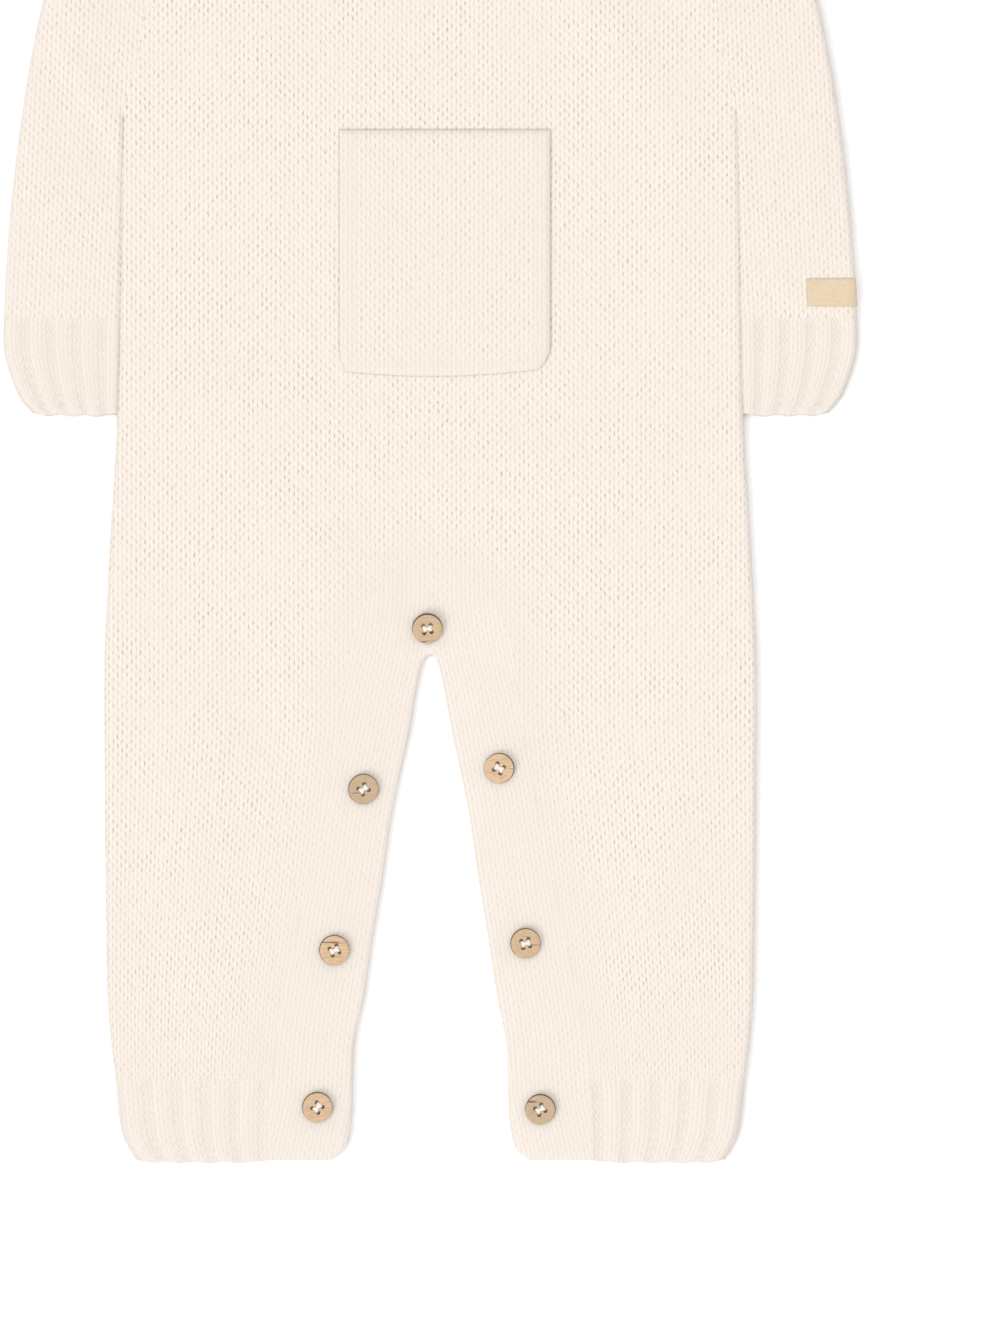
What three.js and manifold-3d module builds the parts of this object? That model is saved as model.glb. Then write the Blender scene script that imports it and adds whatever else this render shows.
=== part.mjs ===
// Baby romper in chunky stockinette, laid flat on its back, arms beside the body.
// Millimetres, x to the right, y towards the neck, z up from the surface it lies on.
// Until the last lines, y is 0 at the top of the opening between the legs.
import * as THREE from 'three';
import { mergeVertices } from 'three/addons/utils/BufferGeometryUtils.js';
import Module from 'manifold-3d';

const wasm = await Module();
wasm.setup();

// Cloth, and how two layers of it turn into each other at the sides
const WALL = 2.2;
const SEAM_GAP = 0.3;
const FOLD_RADIUS = 2.9;
const TOP = 2 * FOLD_RADIUS + SEAM_GAP;
const HALF = TOP / 2;

// Heights along the garment
const HEM_Y = -232.3;
const CUFF_Y = -195;
const UNDERARM_Y = 250;

// Half width of the body and leg at the side seam, a row for each height
const SIDE = [
  { y: -232.3, x: 135.7 },
  { y: -227.7, x: 138.5 },
  { y: -220.8, x: 141.7 },
  { y: -195.0, x: 144.9 },
  { y: -165.6, x: 148.1 },
  { y: -120.0, x: 149.3 },
  { y: -60.0, x: 149.9 },
  { y: 0.0, x: 150.0 },
  { y: 30.0, x: 148.6 },
  { y: 71.0, x: 146.3 },
  { y: 103.5, x: 144.4 },
  { y: 224.5, x: 142.2 },
  { y: 250.0, x: 141.6 },
];

// Button band: its free edge along the leg opening and its seam, hem to middle of the crotch
const BAND = [
  { edgeX: 45.5, edgeY: -232.3, seamX: 74.0, seamY: -232.3 },
  { edgeX: 39.5, edgeY: -227.5, seamX: 74.0, seamY: -227.0 },
  { edgeX: 36.6, edgeY: -215.0, seamX: 73.7, seamY: -214.0 },
  { edgeX: 35.9, edgeY: -195.0, seamX: 72.6, seamY: -195.0 },
  { edgeX: 34.9, edgeY: -177.0, seamX: 70.5, seamY: -177.0 },
  { edgeX: 31.0, edgeY: -158.7, seamX: 67.3, seamY: -156.0 },
  { edgeX: 26.9, edgeY: -131.0, seamX: 62.0, seamY: -130.0 },
  { edgeX: 22.4, edgeY: -104.0, seamX: 56.0, seamY: -103.0 },
  { edgeX: 18.4, edgeY: -76.0, seamX: 50.2, seamY: -76.0 },
  { edgeX: 13.8, edgeY: -53.0, seamX: 45.6, seamY: -53.0 },
  { edgeX: 9.7, edgeY: -34.5, seamX: 42.0, seamY: -32.0 },
  { edgeX: 7.2, edgeY: -19.5, seamX: 39.6, seamY: -12.0 },
  { edgeX: 5.2, edgeY: -9.5, seamX: 36.8, seamY: 6.0 },
  { edgeX: 3.8, edgeY: -4.0, seamX: 31.0, seamY: 21.0 },
  { edgeX: 2.0, edgeY: -0.9, seamX: 18.0, seamY: 34.5 },
  { edgeX: 0.0, edgeY: 0.0, seamX: 0.0, seamY: 39.5 },
];
const BAND_CUFF_ROW = 3;
const BAND_ARCH_ROW = 10;
const BAND_SETTLE = 1.2;
const BAND_ACROSS = [0, 0.06, 0.4, 0.75, 1];
const EDGE_ROUND = 1.0;

// Shoulder, armhole and neck seams of the right half
const NECK_POINT = { x: 66, y: 388 };
const SHOULDER_TIP = { x: 133, y: 366 };
const UNDERARM = { x: 141.6, y: UNDERARM_Y };
const ARMHOLE_BOW = 7;
const FRONT_NECK = [
  { x: 0, y: 332 },
  { x: 22, y: 335 },
  { x: 42, y: 345.5 },
  { x: 55, y: 360 },
  { x: 62, y: 375 },
  NECK_POINT,
];
const BACK_NECK = [
  { x: 0, y: 373 },
  { x: 22, y: 373.8 },
  { x: 40, y: 376 },
  { x: 53, y: 379.3 },
  { x: 61, y: 383.2 },
  NECK_POINT,
];
const NECKBAND_WIDTH = 16;
const NECKBAND_SETTLE = 1.0;
const NECKBAND_ACROSS = [SEAM_GAP, 0.5 * NECKBAND_WIDTH, NECKBAND_WIDTH - 1, NECKBAND_WIDTH];

// Where the rows of a panel turn from level to the slope of the neck and shoulder
const CHEST_BELOW_NECK = 74;
const SIDE_ABOVE_CROTCH = 12;

// Sleeve sections, armhole to cuff: height at the body, outer edge, bow towards the body
const SLEEVE = [
  { innerY: 250.0, outerX: 133.4, outerY: 366.4, bow: ARMHOLE_BOW },
  { innerY: 246.5, outerX: 147.5, outerY: 359.0, bow: 5 },
  { innerY: 242.5, outerX: 160.0, outerY: 345.5, bow: 3.5 },
  { innerY: 237.0, outerX: 170.5, outerY: 326.0, bow: 2 },
  { innerY: 229.0, outerX: 178.8, outerY: 299.0, bow: 1 },
  { innerY: 219.0, outerX: 185.0, outerY: 268.0, bow: 0 },
  { innerY: 207.0, outerX: 189.8, outerY: 236.0, bow: 0 },
  { innerY: 194.0, outerX: 193.0, outerY: 207.0, bow: 0 },
  { innerY: 175.5, outerX: 195.2, outerY: 180.0, bow: 0 },
  { innerY: 155.2, outerX: 196.4, outerY: 155.2, bow: 0 },
];
const SLEEVE_CUFF = [
  { innerY: 154.9, outerX: 196.4, outerY: 154.9, bow: 0 },
  { innerY: 140.0, outerX: 196.3, outerY: 140.5, bow: 0 },
  { innerY: 128.0, outerX: 193.4, outerY: 129.0, bow: 0 },
  { innerY: 118.0, outerX: 189.0, outerY: 118.5, bow: 0 },
  { innerY: 111.3, outerX: 183.6, outerY: 111.8, bow: 0 },
];
const SLEEVE_BESIDE_BODY = 0.6;

// Ribs of the cuffs and neckband: sunk channels between broad ridges
const CHANNEL_WIDTH = 4.7;
const CHANNEL_DEPTH = 1.2;
const LEG_CHANNELS = [76.8, 90.4, 104.0, 117.6, 131.2];
const SLEEVE_CHANNELS = [0.13, 0.37, 0.62, 0.86];
const NECK_CHANNELS = 7;

// Soft folds of the front: middle, half length, half width, turn in degrees, rise
const FOLDS = [
  { x: 58, y: 38, long: 62, wide: 15, turn: 42, rise: 1.3 },
  { x: -54, y: 48, long: 55, wide: 17, turn: 132, rise: 1.1 },
  { x: 70, y: -22, long: 46, wide: 12, turn: 64, rise: -0.8 },
  { x: -76, y: -34, long: 50, wide: 13, turn: 112, rise: -0.8 },
  { x: 106, y: -104, long: 78, wide: 19, turn: 82, rise: 1.3 },
  { x: -104, y: -126, long: 70, wide: 18, turn: 97, rise: 1.2 },
  { x: 96, y: 92, long: 52, wide: 22, turn: 18, rise: 1.0 },
  { x: -98, y: 118, long: 60, wide: 20, turn: 160, rise: 0.9 },
  { x: 4, y: 88, long: 58, wide: 17, turn: 3, rise: 0.8 },
  { x: -82, y: 272, long: 54, wide: 17, turn: 62, rise: 1.3 },
  { x: 86, y: 284, long: 50, wide: 16, turn: 120, rise: 1.3 },
  { x: 112, y: 196, long: 60, wide: 14, turn: 84, rise: 0.9 },
];

// Patch pocket
const POCKET = { left: -42, right: 55.2, top: 241.5, bottom: 128.2, wall: 2.0 };
const POCKET_CORNER = { leftIn: 2.9, rightIn: 5.2, height: 14, sag: 2.6, sagAt: 0.45 };
const POCKET_EDGE = 2.5;
const POCKET_GAP = 0.45;

// Bare label on the outer side of one sleeve
const LABEL = { fromEdge: 22.8, top: 173, bottom: 160.5, wall: 0.8 };

// Four-hole buttons: place, turn of the holes, and tilt about x and y in degrees
const BUTTON = { radius: 7, thickness: 2.4, dish: 0.5, hole: 0.85, holeSpacing: 3.4 };
const BUTTONS = [
  { x: -1.4, y: 12.4, turn: 8, tiltX: 14, tiltY: 2 },
  { x: -30.8, y: -61.6, turn: 38, tiltX: 3, tiltY: 4 },
  { x: 31.7, y: -52.0, turn: -30, tiltX: 3, tiltY: -5 },
  { x: -44.2, y: -135.7, turn: 24, tiltX: 2, tiltY: 5 },
  { x: 43.7, y: -132.5, turn: 14, tiltX: 3, tiltY: 3 },
  { x: -52.0, y: -207.9, turn: 52, tiltX: 2, tiltY: 4 },
  { x: 50.6, y: -208.8, turn: 33, tiltX: 4, tiltY: -2 },
];

const COLOURS = { knit: 0xf8eddf, pocket: 0xf9f0e4, rib: 0xf7eddf, wood: 0xc9a87e, label: 0xe7cfae };

const vector = (x, y, z = 0) => new THREE.Vector3(x, y, z);
const degrees = THREE.MathUtils.degToRad;
const blend = THREE.MathUtils.lerp;
const bell = (u) => Math.exp(-u * u);

// Half width of the body at a height, on a cubic through the table
function sideX(y) {
  let i = 0;
  while (i < SIDE.length - 2 && y > SIDE[i + 1].y) i += 1;
  const slope = (k) => {
    const before = SIDE[Math.max(k - 1, 0)];
    const after = SIDE[Math.min(k + 1, SIDE.length - 1)];
    return (after.x - before.x) / (after.y - before.y);
  };
  const span = SIDE[i + 1].y - SIDE[i].y;
  const t = (y - SIDE[i].y) / span;
  const held = SIDE[i].x * (1 + 2 * t) * (1 - t) ** 2 + SIDE[i + 1].x * t * t * (3 - 2 * t);
  return held + span * (slope(i) * t * (1 - t) ** 2 + slope(i + 1) * t * t * (t - 1));
}

// How far the soft folds lift the front at a place
function foldRise(x, y) {
  return FOLDS.reduce((sum, fold) => {
    const turn = degrees(fold.turn);
    const along = (x - fold.x) * Math.cos(turn) + (y - fold.y) * Math.sin(turn);
    const across = (y - fold.y) * Math.cos(turn) - (x - fold.x) * Math.sin(turn);
    return sum + fold.rise * bell(along / fold.long) * bell(across / fold.wide);
  }, 0);
}

// A smooth plan curve through table rows, read at stations 0 to 1
function planCurve(rows, xName = 'x', yName = 'y') {
  return new THREE.CatmullRomCurve3(rows.map((row) => vector(row[xName], row[yName])));
}

// The same station's point moved square to the curve, to its left when positive
function besideCurve(curve, t, distance) {
  const along = curve.getTangent(t);
  return curve.getPoint(t).add(vector(-along.y, along.x).multiplyScalar(distance));
}

// Table rows joined by straight chords, read at 0 to 1
function chordPoint(rows, t) {
  const at = t * (rows.length - 1);
  const row = Math.min(Math.floor(at), rows.length - 2);
  const { x, y } = rows[row];
  return vector(x, y).lerp(vector(rows[row + 1].x, rows[row + 1].y), at - row);
}

// A wall between outer and inner points: faces are shared quads, free edges are closed
class Wall {
  constructor() {
    this.outer = [];
    this.inner = [];
    this.quads = [];
    this.keys = new Map();
  }

  add({ outer, inner }) {
    const key = outer.toArray().map((value) => Math.round(value * 1000)).join();
    if (!this.keys.has(key)) {
      this.keys.set(key, this.outer.length);
      this.outer.push(outer);
      this.inner.push(inner);
    }
    return this.keys.get(key);
  }

  grid(rows, flipped = false) {
    const index = rows.map((row) => row.map((pair) => this.add(pair)));
    for (let r = 0; r < rows.length - 1; r += 1) {
      for (let c = 0; c < rows[r].length - 1; c += 1) {
        const quad = [index[r][c], index[r][c + 1], index[r + 1][c + 1], index[r + 1][c]];
        this.quads.push(flipped ? quad.reverse() : quad);
      }
    }
    return this;
  }

  mirrored(rows, flipped = false) {
    const other = ({ x, y, z }) => vector(-x, y, z);
    const mirror = ({ outer, inner }) => ({ outer: other(outer), inner: other(inner) });
    return this.grid(rows, flipped).grid(rows.map((row) => row.map(mirror)), !flipped);
  }

  geometry() {
    const count = this.outer.length;
    const edges = new Set();
    const index = [];
    const fill = (a, b, c, d) => index.push(a, b, c, a, c, d);
    for (const quad of this.quads) {
      quad.forEach((a, k) => edges.add(`${a},${quad[(k + 1) % 4]}`));
      fill(...quad);
      fill(...quad.map((k) => k + count).reverse());
    }
    for (const edge of edges) {
      const [a, b] = edge.split(',').map(Number);
      if (!edges.has(`${b},${a}`)) fill(b, a, a + count, b + count);
    }
    const geometry = new THREE.BufferGeometry().setFromPoints([...this.outer, ...this.inner]);
    geometry.setIndex(index);
    geometry.computeVertexNormals();
    return geometry;
  }
}

// A point of the round edge where cloth turns under: 90 degrees is the top, 0 the edge
function roundEdge(edge, inward, angle, centreZ, rise, wall = WALL) {
  const place = (radius, height) => {
    const across = FOLD_RADIUS - radius * Math.cos(angle);
    return vector(
      edge.x + inward.x * across,
      edge.y + inward.y * across,
      centreZ + height * Math.sin(angle),
    );
  };
  return { outer: place(FOLD_RADIUS, rise), inner: place(FOLD_RADIUS - wall, rise - wall) };
}

// The two body layers: the front on top, the back on the surface
const FRONT = {
  centreZ: HALF + SEAM_GAP / 2,
  up: 1,
  wallAt: (x, y, drop = 0) => {
    const z = TOP + foldRise(x, y) - drop;
    return { outer: vector(x, y, z), inner: vector(x, y, z - WALL) };
  },
};
const BACK = {
  centreZ: HALF - SEAM_GAP / 2,
  up: -1,
  wallAt: (x, y) => ({ outer: vector(x, y, 0), inner: vector(x, y, WALL) }),
};

// Stations along the band's tables, with one more between each pair over the crotch if fine
function bandStations(firstRow, fine) {
  const last = BAND.length - 1;
  const stations = [];
  for (let row = firstRow; row < last; row += 1) {
    stations.push(row / last);
    if (fine && row >= BAND_ARCH_ROW) stations.push((row + 0.5) / last);
  }
  return [...stations, 1];
}

// Armhole seam from underarm to shoulder, bowed towards the body
function armhole(t) {
  const bow = ARMHOLE_BOW * 4 * t * (1 - t);
  return vector(
    blend(UNDERARM.x, SHOULDER_TIP.x, t) - bow,
    blend(UNDERARM.y, SHOULDER_TIP.y, t),
  );
}

// Inner and outer ends of each row of a half panel, from the cuff seam to the shoulder
function panelRows(neckTable, density) {
  const seam = planCurve(BAND, 'seamX', 'seamY');
  const neck = planCurve(neckTable);
  const archStart = BAND_ARCH_ROW / (BAND.length - 1);
  const crotchTop = BAND.at(-1).seamY;
  const rows = bandStations(BAND_CUFF_ROW, density.fine).map((t, i) => {
    const from = besideCurve(seam, t, -SEAM_GAP / 2);
    if (i === 0) from.y = CUFF_Y + SEAM_GAP / 2;
    if (t === 1) from.x = 0;
    const archShare = (t - archStart) / (1 - archStart);
    const archY = blend(BAND[BAND_ARCH_ROW].seamY, crotchTop + SIDE_ABOVE_CROTCH, archShare);
    const outY = archShare > 0 ? archY : from.y;
    return { from, to: vector(sideX(outY), outY), turned: true };
  });
  const bodyTop = neckTable[0].y - CHEST_BELOW_NECK;
  for (let i = 1; i <= density.body; i += 1) {
    const share = i / density.body;
    const outY = blend(crotchTop + SIDE_ABOVE_CROTCH, UNDERARM_Y, share);
    const from = vector(0, blend(crotchTop, bodyTop, share));
    rows.push({ from, to: vector(sideX(outY), outY), turned: share < 1 });
  }
  for (let i = 1; i <= density.chest; i += 1) {
    const share = i / density.chest;
    const from = vector(0, blend(bodyTop, neckTable[0].y, share));
    rows.push({ from, to: armhole(0.5 * share), turned: false });
  }
  for (let i = 1; i <= density.neck; i += 1) {
    const share = i / density.neck;
    rows.push({ from: neck.getPoint(share), to: armhole(blend(0.5, 1, share)), turned: false });
  }
  return rows;
}

// A half panel: flat rows with the side turned under, then the shoulder turned under
function panelGrid(layer, neckTable, density) {
  const rows = panelRows(neckTable, density);
  const shoulder = rows.pop();
  const inwardX = vector(-1, 0);
  const turns = [60, 30, 0].map(degrees);
  const across = (from, to, c) => from.clone().lerp(to, c / density.across);
  const grid = rows.map(({ from, to, turned }) => {
    const flatEnd = vector(to.x - FOLD_RADIUS, to.y);
    const points = [];
    for (let c = 0; c <= density.across; c += 1) {
      const { x, y } = across(from, flatEnd, c);
      points.push(layer.wallAt(x, y));
    }
    turns.forEach((angle, k) => {
      if (turned) {
        points.push(roundEdge(to, inwardX, layer.up * angle, layer.centreZ, FOLD_RADIUS));
      } else {
        const flat = flatEnd.clone().lerp(to, (k + 1) / turns.length);
        points.push(layer.wallAt(flat.x, flat.y));
      }
    });
    return points;
  });
  const line = shoulder.to.clone().sub(shoulder.from).normalize();
  const inward = vector(line.y, -line.x);
  for (const angle of [80, 45, 0].map(degrees)) {
    const points = [];
    for (let c = 0; c < density.across + 4; c += 1) {
      const seamPoint = shoulder.from.clone().lerp(shoulder.to, c / (density.across + 3));
      points.push(roundEdge(seamPoint, inward, layer.up * angle, layer.centreZ, FOLD_RADIUS));
    }
    grid.push(points);
  }
  return grid;
}

// Band stations from hem to crotch, each with points from the free edge to the seam
function bandGrid(layer, fine) {
  const edge = planCurve(BAND, 'edgeX', 'edgeY');
  const seam = planCurve(BAND, 'seamX', 'seamY');
  return bandStations(0, fine).map((t) => {
    const from = edge.getPoint(t);
    const to = besideCurve(seam, t, SEAM_GAP / 2);
    if (t === 0) to.y = HEM_Y;
    if (t === 1) to.x = 0;
    return BAND_ACROSS.map((u) => {
      const { x, y } = from.clone().lerp(to, u);
      if (layer === BACK) return BACK.wallAt(x, y);
      const settle = BAND_SETTLE * (1 - u) ** 2 + foldRise(x, y) * (1 - u);
      const pair = FRONT.wallAt(x, y, settle);
      if (u === 0) pair.outer.z -= EDGE_ROUND;
      return pair;
    });
  });
}

// Height lost in a rib channel at a distance from its middle
function channelDrop(distance) {
  const t = THREE.MathUtils.clamp(2 - (4 * Math.abs(distance)) / CHANNEL_WIDTH, 0, 1);
  return CHANNEL_DEPTH * t;
}

// Places across a ribbed stretch: both shoulders and both feet of every channel
function ribPlaces(start, end, middles) {
  const quarter = CHANNEL_WIDTH / 4;
  const feet = middles.flatMap((m) => [m - 2 * quarter, m - quarter, m + quarter, m + 2 * quarter]);
  return [start, ...feet.filter((x) => x > start + 0.5 && x < end - 0.5), end];
}

// Leg cuff: ribbed front, round at the side, flat underneath, open along the button band
function legCuffGrid() {
  const seam = planCurve(BAND, 'seamX', 'seamY');
  const tops = [CUFF_Y - SEAM_GAP / 2, -206, -217, -226, HEM_Y];
  const frontEnd = sideX(CUFF_Y) - FOLD_RADIUS;
  const start = BAND[BAND_CUFF_ROW].seamX + 1;
  const places = ribPlaces(start, frontEnd, LEG_CHANNELS);
  return tops.map((y, i) => {
    const station = (BAND_CUFF_ROW / (BAND.length - 1)) * (1 - i / (tops.length - 1));
    const from = seam.getPoint(station).x + SEAM_GAP / 2 + 0.1;
    const edge = vector(sideX(y), y);
    const fit = (x) => blend(from, edge.x - FOLD_RADIUS, (x - start) / (frontEnd - start));
    const points = places.map((place) => {
      const drop = Math.max(...LEG_CHANNELS.map((middle) => channelDrop(place - middle)));
      return {
        outer: vector(fit(place), y, TOP - drop),
        inner: vector(fit(place), y, TOP - WALL),
      };
    });
    for (const angle of [50, 0, -50].map(degrees)) {
      points.push(roundEdge(edge, vector(-1, 0), angle, HALF, HALF));
    }
    for (const share of [0, 0.5, 1]) {
      points.push(BACK.wallAt(blend(edge.x - FOLD_RADIUS, from, share), y));
    }
    return points;
  });
}

// One section round a flattened sleeve: top, body side, underside, outer side
function sleeveSection(row, places, dropAt = () => 0) {
  const body = vector(sideX(row.innerY) + SLEEVE_BESIDE_BODY, row.innerY);
  const outer = vector(row.outerX, row.outerY);
  const width = body.distanceTo(outer);
  const line = outer.clone().sub(body).divideScalar(width);
  const back = line.clone().negate();
  const bowTo = vector(-line.y, line.x);
  const flat = (share, z, inset) => {
    const bow = row.bow * 4 * share * (1 - share);
    const at = blend(FOLD_RADIUS, width - FOLD_RADIUS, share);
    const plan = body.clone().addScaledVector(line, at).addScaledVector(bowTo, bow);
    return { outer: vector(plan.x, plan.y, z), inner: vector(plan.x, plan.y, inset) };
  };
  const turn = (edge, inward, angle) => roundEdge(edge, inward, degrees(angle), HALF, HALF);
  const points = places.map((share) => flat(share, TOP - dropAt(share), TOP - WALL));
  points.push(...[45, 0, -45].map((angle) => turn(outer, back, angle)));
  points.push(...[1, 0.75, 0.5, 0.25, 0].map((share) => flat(share, 0, WALL)));
  points.push(...[-45, 0, 45].map((angle) => turn(body, line, angle)));
  return [...points, points[0]];
}

function sleeveGrid() {
  return SLEEVE.map((row) => sleeveSection(row, [0, 0.2, 0.4, 0.6, 0.8, 1]));
}

function sleeveCuffGrid() {
  const width = SLEEVE_CUFF[0].outerX - sideX(SLEEVE_CUFF[0].innerY) - 2 * FOLD_RADIUS;
  const middles = SLEEVE_CHANNELS.map((share) => share * width);
  const places = ribPlaces(0, width, middles).map((place) => place / width);
  const drop = (share) => {
    return Math.max(...middles.map((middle) => channelDrop(share * width - middle)));
  };
  return SLEEVE_CUFF.map((row) => sleeveSection(row, places, drop));
}

// Neckband: the front arc on top, turned under at the shoulders into the back arc
function neckbandGrid() {
  const arcs = [
    { rows: FRONT_NECK, curve: planCurve(FRONT_NECK), layer: FRONT, count: 4 * NECK_CHANNELS },
    { rows: BACK_NECK, curve: planCurve(BACK_NECK), layer: BACK, count: 8 },
  ];
  const shoulderLine = vector(NECK_POINT.x - SHOULDER_TIP.x, NECK_POINT.y - SHOULDER_TIP.y);
  shoulderLine.normalize();
  const inward = vector(-shoulderLine.y, shoulderLine.x);
  const acrossEnd = shoulderLine.clone();
  const lastFlat = ({ rows }) => {
    const { x, y } = rows.at(-2);
    const lastChord = Math.hypot(NECK_POINT.x - x, NECK_POINT.y - y);
    return 1 - (FOLD_RADIUS + SEAM_GAP) / (lastChord * (rows.length - 1));
  };
  const station = (arc, t, drop) => {
    const seam = chordPoint(arc.rows, t);
    const along = arc.curve.getTangent(t);
    const towards = vector(-along.y, along.x).lerp(acrossEnd, t ** 3).normalize();
    if (t === 0) towards.set(0, 1, 0);
    return NECKBAND_ACROSS.map((width, c) => {
      const { x, y } = seam.clone().addScaledVector(towards, width);
      if (arc.layer === BACK) return BACK.wallAt(x, y);
      const settle = NECKBAND_SETTLE * (width / NECKBAND_WIDTH) ** 2;
      const pair = FRONT.wallAt(x, y, settle + foldRise(x, y));
      pair.outer.z -= drop + (c === NECKBAND_ACROSS.length - 1 ? EDGE_ROUND : 0);
      return pair;
    });
  };
  const [front, back] = arcs;
  const grid = [];
  for (let i = 0; i <= front.count; i += 1) {
    const drop = i % 4 === 1 || i % 4 === 2 ? CHANNEL_DEPTH : 0;
    grid.push(station(front, (lastFlat(front) * i) / front.count, i < front.count - 1 ? drop : 0));
  }
  for (const angle of [45, 0, -45].map(degrees)) {
    grid.push(NECKBAND_ACROSS.map((width) => {
      const plan = vector(NECK_POINT.x, NECK_POINT.y).addScaledVector(acrossEnd, width);
      return roundEdge(plan, inward, angle, HALF, HALF);
    }));
  }
  for (let i = back.count; i >= 0; i -= 1) {
    grid.push(station(back, (lastFlat(back) * i) / back.count, 0));
  }
  return grid;
}

// Pocket laid on the front's own points
function pocketGrid() {
  const width = POCKET.right - POCKET.left;
  const height = POCKET.top - POCKET.bottom;
  const edgeU = POCKET_EDGE / width;
  const edgeV = POCKET_EDGE / height;
  const columns = [0, edgeU, 0.2, 0.4, 0.6, 0.8, 1 - edgeU, 1];
  const rows = [0, edgeV, 0.12, 0.3, 0.5, 0.7, 0.85, 1];
  return rows.map((v, r) => columns.map((u, c) => {
    const corner = Math.max(0, 1 - (v * height) / POCKET_CORNER.height) ** 2;
    const left = POCKET.left + POCKET_CORNER.leftIn * corner;
    const right = POCKET.right - POCKET_CORNER.rightIn * corner;
    const sag = POCKET_CORNER.sag * (2 * (u - POCKET_CORNER.sagAt)) ** 2;
    const x = blend(left, right, u);
    const y = blend(POCKET.bottom + sag, POCKET.top, v);
    const seat = TOP + foldRise(x, y) + POCKET_GAP;
    const border = r === 0 || c === 0 || c === columns.length - 1;
    const z = seat + (border ? POCKET.wall - EDGE_ROUND : POCKET.wall);
    return { outer: vector(x, y, z), inner: vector(x, y, seat) };
  }));
}

// Label: laid on the sleeve's top and over the start of its outer round
function labelGrid() {
  const outerEdge = planCurve(SLEEVE, 'outerX', 'outerY');
  const last = SLEEVE.length - 1;
  const heights = [LABEL.bottom, blend(LABEL.bottom, LABEL.top, 0.5), LABEL.top];
  return heights.map((y) => {
    const share = (SLEEVE[last].outerY - y) / (SLEEVE[last].outerY - SLEEVE[last - 1].outerY);
    const edge = outerEdge.getPoint(1 - share / last);
    const flat = [LABEL.fromEdge, 15, 8, FOLD_RADIUS + 0.4].map((distance) => ({
      outer: vector(edge.x - distance, y, TOP + SEAM_GAP + LABEL.wall),
      inner: vector(edge.x - distance, y, TOP + SEAM_GAP),
    }));
    const turned = [62, 40].map((angle) => {
      const radius = (extra) => vector(
        edge.x - FOLD_RADIUS + (FOLD_RADIUS + extra) * Math.cos(degrees(angle)),
        y,
        HALF + (HALF + extra) * Math.sin(degrees(angle)),
      );
      return { outer: radius(SEAM_GAP + LABEL.wall), inner: radius(SEAM_GAP) };
    });
    return [...flat, ...turned];
  });
}

// A closed mesh handed to the solid library, and taken back from it
function toSolid(geometry) {
  geometry.deleteAttribute('normal');
  geometry.deleteAttribute('uv');
  const merged = mergeVertices(geometry, 1e-4);
  return new wasm.Manifold(new wasm.Mesh({
    numProp: 3,
    vertProperties: Float32Array.from(merged.attributes.position.array),
    triVerts: Uint32Array.from(merged.index.array),
  }));
}

function fromSolid(solid) {
  const mesh = solid.getMesh();
  const geometry = new THREE.BufferGeometry();
  geometry.setAttribute('position', new THREE.BufferAttribute(mesh.vertProperties, 3));
  geometry.setIndex(new THREE.BufferAttribute(mesh.triVerts, 1));
  geometry.computeVertexNormals();
  return geometry;
}

// Button: turned disc with a raised rim and four drilled holes, lying on z = 0
function buttonGeometry() {
  const { radius, thickness, dish, hole, holeSpacing } = BUTTON;
  const profile = [
    [0, 0],
    [radius - 0.6, 0],
    [radius, 0.9],
    [radius - 0.4, thickness],
    [radius - 1.7, thickness],
    [radius - 2.3, thickness - dish],
    [0, thickness - dish],
  ].map(([r, z]) => new THREE.Vector2(r, z));
  const disc = new THREE.LatheGeometry(profile, 18).rotateX(Math.PI / 2);
  let solid = toSolid(disc);
  for (const [sx, sy] of [[1, 1], [1, -1], [-1, 1], [-1, -1]]) {
    const drill = new THREE.CylinderGeometry(hole, hole, 4 * thickness, 8).rotateX(Math.PI / 2);
    drill.translate((sx * holeSpacing) / 2, (sy * holeSpacing) / 2, thickness / 2);
    solid = solid.subtract(toSolid(drill));
  }
  return fromSolid(solid);
}

// Top of the front band at a place: highest where nothing has settled
function bandTop(x, y) {
  const edge = planCurve(BAND, 'edgeX', 'edgeY');
  let nearest = Infinity;
  for (let t = 0; t <= 1; t += 0.01) {
    const point = edge.getPoint(t);
    nearest = Math.min(nearest, Math.hypot(Math.abs(x) - point.x, y - point.y));
  }
  const u = THREE.MathUtils.clamp(nearest / 34, 0, 1);
  return TOP - BAND_SETTLE * (1 - u) ** 2 + foldRise(x, y) * u;
}

// Height at which a tilted button's underside just clears the band
function buttonSeat(button, tilt) {
  let seat = -Infinity;
  for (let k = 0; k < 24; k += 1) {
    for (const reach of [0.5, 0.92]) {
      const turn = (k / 24) * 2 * Math.PI;
      const rim = vector(Math.cos(turn), Math.sin(turn)).multiplyScalar(BUTTON.radius * reach);
      rim.applyEuler(tilt);
      seat = Math.max(seat, bandTop(button.x + rim.x, button.y + rim.y) - rim.z);
    }
  }
  return seat + SEAM_GAP;
}

const garment = new THREE.Group();

function addPiece(name, geometry, color, roughness = 0.95) {
  const material = new THREE.MeshStandardMaterial({ color, roughness, metalness: 0 });
  const mesh = new THREE.Mesh(geometry, material);
  mesh.name = name;
  garment.add(mesh);
  return mesh;
}

// The same grid as a right piece and, mirrored, as a left piece
function addPair(name, grid, color) {
  const other = ({ x, y, z }) => vector(-x, y, z);
  const mirror = ({ outer, inner }) => ({ outer: other(outer), inner: other(inner) });
  addPiece(`${name}_right`, new Wall().grid(grid, true).geometry(), color);
  const mirrored = grid.map((row) => row.map(mirror));
  addPiece(`${name}_left`, new Wall().grid(mirrored).geometry(), color);
}

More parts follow.
